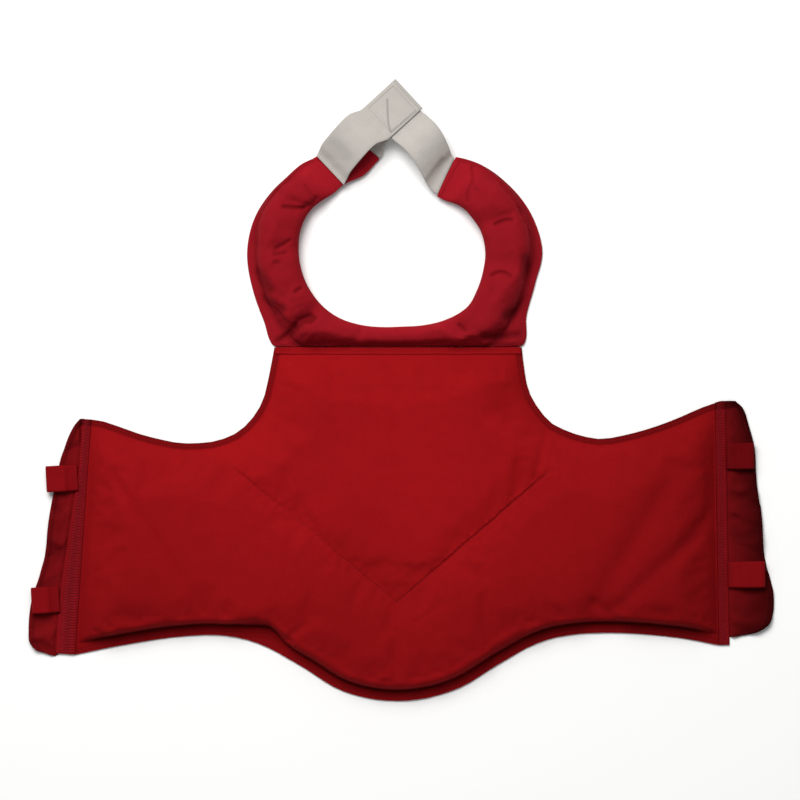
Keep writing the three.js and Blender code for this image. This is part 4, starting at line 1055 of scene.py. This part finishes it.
def build_seam_strip(sides, straight):
    """Tape over the seam between panel and collar, a little wavy, with two stitch lines."""
    low, high = -122.9, 122.9
    columns = 164
    x = np.linspace(low, high, columns)
    section = [
        (-7.2, 0.3), (-7.2, 0.9), (-6.6, 1.25), (-4.6, 1.2), (-3.8, 1.05), (-3.0, 1.2), (-1.0, 1.3),
        (-0.45, 0.9), (-0.45, 0.3),
    ]
    points, shade = [], []
    wave = 0.28 * noise(x, np.zeros(columns), 13, 31)
    for value, bend in zip(x, wave):
        spots = np.array([(value, y) for y, _ in section])
        seat, _ = panel_surface(spots, edge_depths(spots, sides, straight))
        for (y, rise), base in zip(section, seat):
            points.append((value, y + bend * (y < -4), max(base, EDGE_TOP) + rise + bend * 0.5 * (rise > 1)))
            # Painted shade in the shallow dip between the two stitch lines.
            shade.append(0.84 if -4.9 < y < -2.9 else 1.0)
    around = len(section)
    faces = grid_faces(columns, around, wrap=True)
    faces.append(tuple(reversed(range(around))))
    faces.append(tuple((columns - 1) * around + k for k in range(around)))
    points = np.array(points)
    piece = mesh_piece("neck_seam_tape", points, faces, panel_cloth, shade)
    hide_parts("collar_seam_strip")
    grid = points.reshape(columns, around, 3)
    runs = [
        grid[:, number] * (1 - part) + grid[:, number + 1] * part + (0, 0, 0.12)
        for number, part in ((2, 0.3), (6, -0.3))
    ]
    stitch_piece("neck_seam_stitches", runs, red_thread, length=2.4, gap=1.0, radius=0.3)


# Sides: the band along each end of the panel, and the cloth flap outside it
SIDES = {
    "left": {
        "hand": -1,
        "width": 20,
        "reach": 28,
        # Painted shade in the next two: the flap darker outwards, where it falls away from the light, and the
        # whole side darker.
        "outward_shade": 0.25,
        "tone": 0.97,
        "top": 0.0,
        "bottom": 2.5,
        "band": [(0, 0.45), (0.2, 0.45), (0.55, 0.8), (0.76, 1), (1, 1)],
        "flap": [
            (0, 0.1), (0.04, 0.32), (0.12, 0.56), (0.25, 0.73), (0.43, 0.78), (0.57, 0.74), (0.69, 0.83),
            (0.81, 0.99), (0.91, 1), (0.955, 0.95), (0.985, 0.72), (1, 0.3),
        ],
        "wrinkles": [(0.08, 0.5, 0.04), (0.42, 0.8, 0.035), (0.54, 0.9, 0.035), (0.92, 0.8, 0.03)],
    },
    "right": {
        "hand": 1,
        "width": 11,
        "reach": 44,
        # Painted shade in the next two: the flap darker outwards, where it falls away from the light, and the
        # whole side darker.
        "outward_shade": 0.78,
        "tone": 0.8,
        "top": 2.2,
        "bottom": 0.0,
        "band": [(0, 1), (1, 1)],
        "flap": [
            (0, 0.24), (0.03, 0.4), (0.1, 0.51), (0.2, 0.63), (0.33, 0.66), (0.46, 0.75), (0.63, 0.81),
            (0.73, 0.92), (0.8, 1), (0.87, 0.97), (0.92, 0.86), (0.95, 0.58), (0.967, 0.15),
        ],
        "wrinkles": [(0.36, 0.7, 0.03), (0.46, 0.9, 0.035), (0.57, 0.8, 0.03), (0.9, 0.7, 0.03)],
    },
}
WRINKLE_HEIGHT = 4
BAND_THICKNESS = 2
FLAP_THICKNESS = 2
FLAP_UNDER_BAND = 2.5
BAND_OVER_FLAP = 0.9
RIB_PITCH = 2.7


def side_place(side, along, out):
    """Place at a share of the way down the panel's end and a distance out from it."""
    high, low = (np.array(p) for p in PANEL_CORNERS[side])
    way = (low - high) / math.dist(low, high)
    outward = np.array([-way[1], way[0]])
    if outward[0] * SIDES[side]["hand"] < 0:
        outward = -outward
    return high + (low - high) * along + outward * out


def band_width(side, along):
    shares, widths = zip(*SIDES[side]["band"])
    return SIDES[side]["width"] * np.interp(along, shares, widths)


def slab_piece(name, upper, lower, material, shade=None, uv=None):
    """Closed piece between two grids of points of the same size."""
    rows, columns = upper.shape[:2]
    first = rows * columns
    faces = grid_faces(rows, columns)
    faces += [tuple(first + i for i in reversed(face)) for face in grid_faces(rows, columns)]
    rim = list(range(columns)) + [r * columns + columns - 1 for r in range(1, rows)]
    rim += [(rows - 1) * columns + c for c in range(columns - 2, -1, -1)]
    rim += [r * columns for r in range(rows - 2, 0, -1)]
    for k, a in enumerate(rim):
        b = rim[(k + 1) % len(rim)]
        faces.append((b, a, first + a, first + b))
    points = np.vstack([upper.reshape(-1, 3), lower.reshape(-1, 3)])
    shades = None if shade is None else np.concatenate([shade.ravel(), shade.ravel()])
    uvs = None if uv is None else np.vstack([uv.reshape(-1, 2), uv.reshape(-1, 2)])
    return mesh_piece(name, points, faces, material, shades, uvs)


def build_band(side):
    """Ribbed elastic band with a zigzag thread across it from end to end."""
    rows, columns = 240, 12
    upper = np.zeros((rows, columns, 3))
    lower = np.zeros((rows, columns, 3))
    shade = np.ones((rows, columns))
    length = math.dist(*PANEL_CORNERS[side])
    for r, along in enumerate(np.linspace(0, 1, rows)):
        wide = float(band_width(side, along))
        for c, share in enumerate(np.linspace(0, 1, columns)):
            x, y = side_place(side, along, 0.06 + (wide - 0.06) * share)
            y += SIDES[side]["top"] * math.exp(-along * length / 4) * math.sin(math.pi * (0.05 + 0.6 * share))
            edge = min(share, 1 - share) * wide
            ridge = 1.1 * math.exp(-(((share - 0.93) * wide / 1.3) ** 2)) if side == "left" else 0.0
            ridge += (
                1.3 * math.exp(-(((share - 0.3) * wide / 1.1) ** 2)) * (0.26 < along < 0.5)
                if side == "right"
                else 0.0
            )
            z = BAND_THICKNESS - 0.7 * math.exp(-edge / 0.6) + ridge
            upper[r, c] = (x, y, z)
            lower[r, c] = (x, y, BAND_OVER_FLAP * ((1 - share) * wide < FLAP_UNDER_BAND + 1))
            # Painted shade: darker by the padding along the band's inner edge, and the right band darker
            # through its side's tone; darker across the hem at the top.
            shade[r, c] = (SIDES[side]["tone"] - 0.15 * math.exp(-share * wide / 1.4)) * (
                1 - 0.5 * (along * length < HEM_WIDTH)
            )
    x, y = upper[:, :, 0], upper[:, :, 1]
    rib = np.sin(np.linspace(0, 1, rows) * length / RIB_PITCH * 2 * math.pi)[:, None] * 0.12
    upper[:, :, 2] += rib + 0.3 * noise(x, y, 9, 41)
    piece = slab_piece("side_band_cover_" + side, upper, lower, band_cloth, shade)
    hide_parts("side_band_" + side)
    turns = int(length / RIB_PITCH)
    run = []
    for k in range(turns * 2 + 1):
        along = (k + 0.5) / (turns * 2 + 1.5)
        wide = float(band_width(side, along))
        strength = 0.0 if side == "left" else 0.15
        out = 1.6 if k % 2 else wide * (0.86 - strength)
        x, y = side_place(side, along, out)
        run.append((x, y, BAND_THICKNESS + 0.35))
    run = even(np.array(run), 2.0)
    run[:, 2] += 0.3 * noise(run[:, 0], run[:, 1], 9, 41)
    thread_tube(
        "side_band_zigzag_" + side, run, band_thread, radius=0.36 if side == "left" else 0.28
    )


def build_flap(side):
    """Single layer of loose canvas, hemmed at its free edge and wrinkled."""
    data = SIDES[side]
    rows, columns = 150, 22
    shares, reaches = zip(*data["flap"])
    edge_line = [
        side_place(side, a, CLEARANCE + band_width(side, a) + reach * data["reach"])
        for a, reach in zip(shares, reaches)
    ]
    free = even(spline(edge_line, 14), 1.0)
    steps = np.linspace(0, len(free) - 1, rows)
    free = np.column_stack([np.interp(steps, np.arange(len(free)), free[:, k]) for k in (0, 1)])
    high, low = (np.array(p) for p in PANEL_CORNERS[side])
    length = math.dist(high, low)
    grid = np.zeros((rows, columns, 3))
    for r in range(rows):
        along = r / (rows - 1) * shares[-1]
        sewn = side_place(side, along, band_width(side, along) - FLAP_UNDER_BAND)
        for c in range(columns):
            share = c / (columns - 1)
            x, y = sewn + (free[r] - sewn) * share
            y += data["top"] * math.exp(-along * length / 4) * (1 - 0.6 * share)
            y -= data["bottom"] * smoothstep(0.88, 1, along) * math.sin(math.pi * (0.15 + 0.7 * share))
            here = float(np.clip(((np.array([x, y]) - high) @ (low - high)) / length**2, 0, 1))
            rise = sum(up * math.exp(-(((here - at) / wide) ** 2)) for at, up, wide in data["wrinkles"])
            grid[r, c] = (x, y, 0.4 + WRINKLE_HEIGHT * 0.8 * rise * math.sin(share * math.pi / 2))
    sheet = mesh_piece(
        "flap_swelling", grid.reshape(-1, 3), grid_faces(rows, columns), flap_cloth
    )
    index = np.arange(rows * columns)
    held = (index % columns) < 2
    moves = swell(sheet, held, pressure=0.6, slack=0.03, cap=2.6, frames=14, stiffness=8)
    bpy.data.objects.remove(sheet)
    x, y = grid[:, :, 0].ravel(), grid[:, :, 1].ravel()
    share = (index % columns) / (columns - 1)
    top = grid.reshape(-1, 3) + moves * smoothstep(0.0, 0.25, share)[:, None]
    creases = crease_depth(top[:, :2], FLAP_CREASES[side])
    loops_near = np.ones(len(top))
    for _, at_side, along, _, reach, _ in LOOPS:
        if at_side == side:
            centre = side_place(side, along, float(band_width(side, along)) + reach / 2)
            loops_near = np.minimum(loops_near, smoothstep(12, 22, np.hypot(x - centre[0], y - centre[1])))
    lift = np.maximum(top[:, 2], 0.4)
    lift += (1.1 * noise(x, y, 17, 51) + 0.5 * noise(x, y, 8, 52)) * np.sin(share * math.pi / 2) + 0.5
    lift = lift - creases * smoothstep(0, 0.3, share)
    lift = np.maximum(0.5 + (lift - 0.5) * loops_near, 0.35)
    widths = np.linalg.norm(free - np.array([grid[r, 0, :2] for r in range(rows)]), axis=1)[index // columns]
    beyond = smoothstep(FLAP_UNDER_BAND + 0.3, FLAP_UNDER_BAND + 3.5, share * widths)
    top[:, 2] = 0.35 + (lift - 0.35) * beyond
    hem = 0.9 * np.exp(-(((1 - share) * widths - 2.6) / 2.2) ** 2)
    upper = top.copy()
    upper[:, 2] += 0.2 + (0.9 + hem) * beyond
    lower = top.copy()
    lower[:, 2] -= 0.3
    # Painted shade in the creases and along the inner foot of the hem.
    shade = 1 - 0.2 * np.clip(creases / 2, 0, 1) - 0.14 * np.exp(-(((1 - share) * widths - 5.2) / 0.9) ** 2)
    # Painted shade: darker outwards, where the flap falls away from the light, and darker on the right side.
    shade *= data["tone"] * (1 - data["outward_shade"] * share)
    hem_dark = 1 - smoothstep(4.5, 6.0, (1 - share) * widths)
    down = (index // columns) / rows
    shade *= 1 - np.maximum(hem_dark, down * length < HEM_WIDTH) * (
        0.12 + 0.45 * np.exp(-((down / 0.07) ** 2))
    )
    shape = (rows, columns, 3)
    piece = slab_piece(
        "side_flap_cover_" + side, upper.reshape(shape), lower.reshape(shape), flap_cloth,
        shade.reshape(rows, columns),
    )
    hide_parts("side_flap_" + side)
    upper = upper.reshape(shape)
    column = columns - 4
    run = upper[4:-4, column] + np.array([0, 0, 0.25])
    stitch_piece(
        "flap_stitches_" + side, [even(run, 1.2)], flap_thread, length=2.4, gap=1.0, radius=0.2
    )


def build_loop(name, side, along, tone, reach, tilt):
    """Webbing folded back on itself and sewn down at its root."""
    nose = LOOP_RISE / 2
    half = LOOP_THICKNESS / 2
    shoulder = reach * LOOP_SHOULDER
    root = LOOP_THICKNESS * 2 + CLEARANCE
    lower = [(-0.9, half), (reach * 0.3, half), (reach - nose - 2, half)]
    bend = [
        (reach - nose + math.sin(a) * (nose - half), nose - math.cos(a) * (nose - half))
        for a in np.linspace(0, math.pi, 11)
    ]
    upper = [
        (shoulder + 3, LOOP_RISE - half), (shoulder, LOOP_RISE - half - 0.2),
        (shoulder * 0.7, (LOOP_RISE + root) / 2 - half), (LOOP_ROOT, root - half), (-0.9, root - half),
    ]
    line = spline(np.array(lower + bend + upper), 3)
    line = even(line, 1.3)
    ways = np.gradient(line, axis=0)
    ways /= np.linalg.norm(ways, axis=1)[:, None]
    normals = np.column_stack([-ways[:, 1], ways[:, 0]])
    across = np.linspace(-LOOP_WIDTH / 2, LOOP_WIDTH / 2, 20)
    outward = side_place(side, along, 1.0) - side_place(side, along, 0.0)
    turn = math.radians(-SIDES[side]["hand"] * tilt)
    outward = np.array(
        [
            outward[0] * math.cos(turn) - outward[1] * math.sin(turn),
            outward[0] * math.sin(turn) + outward[1] * math.cos(turn),
        ],
    )
    down = np.array([outward[1], -outward[0]])
    seat = side_place(side, along, float(band_width(side, along)) + CLEARANCE * 2)
    base = FLAP_THICKNESS + CLEARANCE
    outer = np.zeros((len(line), len(across), 3))
    inner = np.zeros_like(outer)
    uv = np.zeros((len(line), len(across), 2))
    shade = np.ones((len(line), len(across)))
    seed = 60 + len(name) + int(along * 10)
    for r, (point, normal) in enumerate(zip(line, normals)):
        for c, a in enumerate(across):
            edge = LOOP_WIDTH / 2 - abs(a)
            thin = half * (1 - 0.55 * math.exp(-edge / 0.7))
            sag = (
                -0.45
                * math.cos(a / LOOP_WIDTH * math.pi)
                * (point[1] > nose)
                * math.sin(min(max(point[0], 0) / reach, 1) * math.pi)
            )
            for grid, sign in ((outer, -1), (inner, 1)):
                out, up = point + normal * sign * thin
                x, y = seat + outward * out + down * a
                grid[r, c] = (x, y, base + up + sag)
            uv[r, c] = (r * 1.3, a)
            # Painted shade from the loop's row, and darker towards its root where it meets the band; darker
            # rims along its edges.
            shade[r, c] = tone * (1 - 0.15 * math.exp(-edge / 0.8) - 0.12 * math.exp(-max(point[0], 0) / 1.6))
    outer[:, :, 2] += 0.18 * noise(outer[:, :, 0], outer[:, :, 1], 6, seed)
    piece = slab_piece("loop_webbing_" + name, outer, inner, loop_cloth, shade, uv)
    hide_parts("belt_loop_" + name)
    runs = []
    for out in (1.3, LOOP_ROOT):
        run = [
            (*(seat + outward * out + down * a), base + root + 0.25)
            for a in np.linspace(-LOOP_WIDTH / 2 + 1.5, LOOP_WIDTH / 2 - 1.5, 16)
        ]
        runs.append(np.array(run))
    stitch_piece("loop_stitches_" + name, runs, band_thread, length=2.2, gap=0.8, radius=0.26)


def collar_seat(row, up, flush):
    """Where a strap's middle starts on a collar section, and its angle across."""
    _, tube, edge, height, _ = collar_sizes(row)
    a = collar_point(row, 0, up * height)
    b = collar_point(row, tube + edge, up * height)
    across = b - a
    length = np.linalg.norm(across)
    point = a + across / length * (STRAP_WIDTH if flush else length) / 2
    return point, math.atan2(across[1], across[0])


def strap_stops(way, point, angle, heading, arrival_angle, arrival_height):
    """Middle line of a strap from its seat to the near edge of the crossing: points and angles across."""
    heading = np.array([math.cos(heading), math.sin(heading)])
    arrival = np.array(CROSSING) - heading * STRAP_WIDTH / 2
    ahead = arrival - point[:2]
    left = np.array([-ahead[1], ahead[0]]) / math.hypot(*ahead)
    level = np.array([math.sin(angle), -math.cos(angle)])
    if level @ ahead < 0:
        level = -level
    stops = []
    for along, aside, arch, turn in way:
        xy = point[:2] + ahead * along + left * aside * STRAP_WIDTH + level * CLEARANCE
        climb = along * along * (3 - 2 * along)
        z = point[2] + (arrival_height - point[2]) * climb + arch * STRAP_ARCH
        stops.append((*xy, z, angle + (arrival_angle - angle) * turn))
    return stops


def ribbon(name, stops, material, extra=None, columns=49, step=0.9):
    """Strap with rounded edges through its stops: middle line, angle across and normals."""
    stops = np.array(stops)
    line = even(spline(stops[:, :4], 8), step)
    ways = np.gradient(line[:, :3], axis=0)
    ways /= np.linalg.norm(ways, axis=1)[:, None]
    across = np.column_stack([np.cos(line[:, 3]), np.sin(line[:, 3]), np.zeros(len(line))])
    normals = np.cross(across, ways)
    normals /= np.linalg.norm(normals, axis=1)[:, None]
    if normals[len(normals) // 4, 2] < 0:
        normals = -normals
    shares = np.linspace(-0.5, 0.5, columns)
    half = STRAP_THICKNESS / 2
    upper = np.zeros((len(line), columns, 3))
    lower = np.zeros_like(upper)
    uv = np.zeros((len(line), columns, 2))
    shade = np.ones((len(line), columns))
    for c, share in enumerate(shares):
        edge = (0.5 - abs(share)) * STRAP_WIDTH
        thin = half * (1 - 0.5 * math.exp(-edge / 0.8))
        middle = line[:, :3] + across * share * STRAP_WIDTH
        upper[:, c] = middle + normals * thin
        lower[:, c] = middle - normals * thin
        uv[:, c, 0] = np.arange(len(line)) * step
        uv[:, c, 1] = share * STRAP_WIDTH
        shade[:, c] = 1 - 0.10 * math.exp(-edge / 1.2)
    if extra is not None:
        move, dark = extra(upper, shares, line)
        upper += normals[:, None, :] * move[:, :, None]
        lower += normals[:, None, :] * np.minimum(move, 0.6)[:, :, None]
        shade *= dark
    piece = slab_piece(name, upper, lower, material, shade, uv)
    return piece, upper


STRAP_CREASES = [
    ([(-7.2, 214.3), (-9.1, 221.3), (-10, 234), (-10.4, 246.2)], 0.7, 1.2),
    ([(18.3, 234), (6, 224), (-6, 214.3)], 0.8, 0.5),
    ([(-64, 203), (-58, 196), (-51, 190)], 6, 0.4),
    ([(29, 166), (36, 175), (45, 186)], 3.0, 0.7),
]


def strap_extra(points, shares, line):
    """Waves, creases and their shade on a strap."""
    x, y = points[:, :, 0], points[:, :, 1]
    flat = points[:, :, :2].reshape(-1, 2)
    creases = crease_depth(flat, STRAP_CREASES).reshape(x.shape)
    move = 0.35 * noise(x, y, 19, 71) + 0.12 * noise(x, y, 7, 72) - creases
    return move, 1 - 0.4 * np.clip(creases / 1.3, 0, 1)


def build_straps():
    left_angle, right_angle = HEADING, HEADING + math.pi / 2
    point, angle = collar_seat(COLLAR_ROWS[2], 1, False)
    point = point + np.array([0, 0, CLEARANCE + STRAP_THICKNESS / 2])
    front = strap_stops(LEFT_WAY, point, angle, left_angle, right_angle, CROSSING_HEIGHT)
    ahead = np.array([math.cos(left_angle), math.sin(left_angle)])
    fold = []
    for bend in np.linspace(0, math.pi, 7):
        xy = np.array(CROSSING) + ahead * (STRAP_WIDTH / 2 + LAYER * math.sin(bend))
        fold.append((*xy, CROSSING_HEIGHT + LAYER * (math.cos(bend) - 1), right_angle))
    point, angle = collar_seat(COLLAR_ROWS[0], 0.5, True)
    back = strap_stops(BACK_WAY, point, angle, left_angle, right_angle, CROSSING_HEIGHT - 2 * LAYER)
    upper = left_ribbon(front, fold, back[::-1])
    point, angle = collar_seat(COLLAR_ROWS[-1], 0.5, False)
    stops = strap_stops(RIGHT_WAY, point, angle, right_angle, left_angle, CROSSING_HEIGHT - LAYER)
    ahead = np.array([math.cos(right_angle), math.sin(right_angle)])
    stops.append(
        (*(np.array(CROSSING) + ahead * (STRAP_WIDTH / 2 - LAYER)), CROSSING_HEIGHT - LAYER, left_angle)
    )
    right, right_upper = ribbon("neck_elastic_right", stops, elastic, strap_extra)
    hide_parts("neck_strap_right")
    return upper, right_upper


def left_ribbon(front, fold, back):
    """The left strap: front leg, fold over the crossing's far edge, and the back leg under it."""
    piece, upper = ribbon("neck_elastic_left", front + fold[:1], elastic, strap_extra)
    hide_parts("neck_strap_left")
    ribbon("neck_elastic_left_back", [fold[-1]] + back, elastic)
    turn_points = np.array(fold)
    shares = np.linspace(-0.5, 0.5, 25)
    across = np.array([math.cos(turn_points[0, 3]), math.sin(turn_points[0, 3]), 0])
    ahead = np.array([math.cos(HEADING), math.sin(HEADING), 0])
    bends = np.linspace(0, math.pi, 9)
    centre = np.array([*CROSSING, CROSSING_HEIGHT - LAYER]) + ahead * STRAP_WIDTH / 2
    outer, inner = [], []
    for bend in bends:
        spoke = ahead * math.sin(bend) + np.array([0, 0, math.cos(bend)])
        outer.append(
            [centre + spoke * (LAYER + STRAP_THICKNESS / 2) + across * s * STRAP_WIDTH for s in shares]
        )
        inner.append(
            [centre + spoke * (LAYER - STRAP_THICKNESS / 2) + across * s * STRAP_WIDTH for s in shares]
        )
    uv = np.array([[(b * LAYER, s * STRAP_WIDTH) for s in shares] for b in bends])
    slab_piece(
        "neck_elastic_fold", np.array(outer), np.array(inner), elastic,
        np.full(uv.shape[:2], FOLD_SHADE), uv,
    )
    return upper


def surface_height(upper, xy):
    """Height of the nearest point of a grid of points."""
    flat = upper.reshape(-1, 3)
    gaps = np.hypot(flat[:, 0] - xy[0], flat[:, 1] - xy[1])
    near = gaps < 1.8
    return flat[near, 2].max() if near.any() else flat[gaps.argmin(), 2]


def build_strap_stitches(upper, right_upper):
    along = np.array([math.cos(HEADING), math.sin(HEADING)])
    aside = np.array([-along[1], along[0]])
    middle = np.array(CROSSING)
    runs = []
    inset = STRAP_WIDTH / 2 - 3.6
    corners = [
        middle + along * a * inset + aside * b * inset
        for a, b in ((-1, -1), (1, -1), (1, 1), (-1, 1), (-1, -1))
    ]
    for a, b in zip(corners[:-1], corners[1:]):
        line = even([a, b], 1.2)
        runs.append(np.array([(*p, surface_height(upper, p) + 0.2) for p in line]))
    for grid, rows in ((upper, (2, 5)), (right_upper, (2,))):
        for row in rows:
            runs.append(grid[row, 1:-1] + np.array([0, 0, 0.15]))
    stitch_piece("neck_elastic_stitches", runs, pale_thread, length=2.3, gap=0.9, radius=0.28)


# Stage, in metres
FLOOR_REACH = 4.0
FLOOR_BELOW = 0.0006
WARM_WHITE = (1.0, 0.99, 0.975)
KEY_PLACE = (-0.3, 0.78, 1.25)
KEY_POWER = 12.5
SUN_STRENGTH = 1.75
SUN_ANGLE = math.radians(32)
WORLD_STRENGTH = 0.33
CAMERA_HEIGHT, PICTURE_WIDTH, SENSOR = 6.0, 0.8, 36.0
CAMERA_FROM_CENTRE, CAMERA_FROM_SEAM = 2, -53


def build_stage():
    floor_mesh = bpy.data.meshes.new("floor")
    size = FLOOR_REACH
    floor_mesh.from_pydata(
        [(-size, -size, 0), (size, -size, 0), (size, size, 0), (-size, size, 0)], [], [(0, 1, 2, 3)]
    )
    floor = bpy.data.objects.new("floor", floor_mesh)
    floor.location.z = -FLOOR_BELOW
    bpy.context.scene.collection.objects.link(floor)
    material = bpy.data.materials.new("floor_paper")
    material.use_nodes = True
    shader = material.node_tree.nodes["Principled BSDF"]
    shader.inputs["Base Color"].default_value = (0.93, 0.93, 0.925, 1)
    shader.inputs["Roughness"].default_value = 0.95
    shader.inputs["Specular IOR Level"].default_value = 0.1
    floor_mesh.materials.append(material)


def area_light(name, place_at, target, size, power, colour):
    light = bpy.data.lights.new(name, "AREA")
    light.shape = "RECTANGLE"
    light.size, light.size_y = size
    light.energy = power
    light.color = colour
    lamp = bpy.data.objects.new(name, light)
    lamp.location = place_at
    lamp.rotation_mode = "QUATERNION"
    lamp.rotation_quaternion = (Vector(target) - Vector(place_at)).to_track_quat("-Z", "Y")
    bpy.context.scene.collection.objects.link(lamp)


def build_light():
    world = bpy.data.worlds.new("studio")
    world.use_nodes = True
    background = world.node_tree.nodes["Background"]
    background.inputs["Color"].default_value = (0.95, 0.97, 1.0, 1)
    background.inputs["Strength"].default_value = WORLD_STRENGTH
    bpy.context.scene.world = world
    area_light("key", KEY_PLACE, (0, -0.02, 0), (0.9, 0.9), KEY_POWER, WARM_WHITE)
    light = bpy.data.lights.new("soft_sun", "SUN")
    light.energy = SUN_STRENGTH
    light.angle = SUN_ANGLE
    light.color = WARM_WHITE
    lamp = bpy.data.objects.new("soft_sun", light)
    lamp.location = KEY_PLACE
    lamp.rotation_mode = "QUATERNION"
    lamp.rotation_quaternion = (-Vector(KEY_PLACE)).to_track_quat("-Z", "Y")
    bpy.context.scene.collection.objects.link(lamp)
    bpy.context.scene.view_settings.view_transform = "Standard"


def build_camera():
    """Straight above, with the picture 800 mm wide on the surface."""
    data = bpy.data.cameras.new("camera")
    data.sensor_width = SENSOR
    data.lens = SENSOR * CAMERA_HEIGHT / PICTURE_WIDTH
    camera = bpy.data.objects.new("camera", data)
    across, up = CAMERA_FROM_CENTRE + CENTRE_X, SEAM_Y + CAMERA_FROM_SEAM
    camera.location = (across / 1000, up / 1000, CAMERA_HEIGHT)
    camera.rotation_euler = (0, 0, 0)
    bpy.context.scene.collection.objects.link(camera)
    bpy.context.scene.camera = camera


build_camera()
outline, sides, straight = build_panel()
build_panel_stitches(outline, sides, straight)
collar_rows = build_collar()
build_collar_stitches(collar_rows)
build_seam_strip(sides, straight)
for side in ("left", "right"):
    build_band(side)
    build_flap(side)
for loop in LOOPS:
    build_loop(*loop)
upper, right_upper = build_straps()
build_strap_stitches(upper, right_upper)
build_stage()
build_light()

bpy.context.view_layer.update()
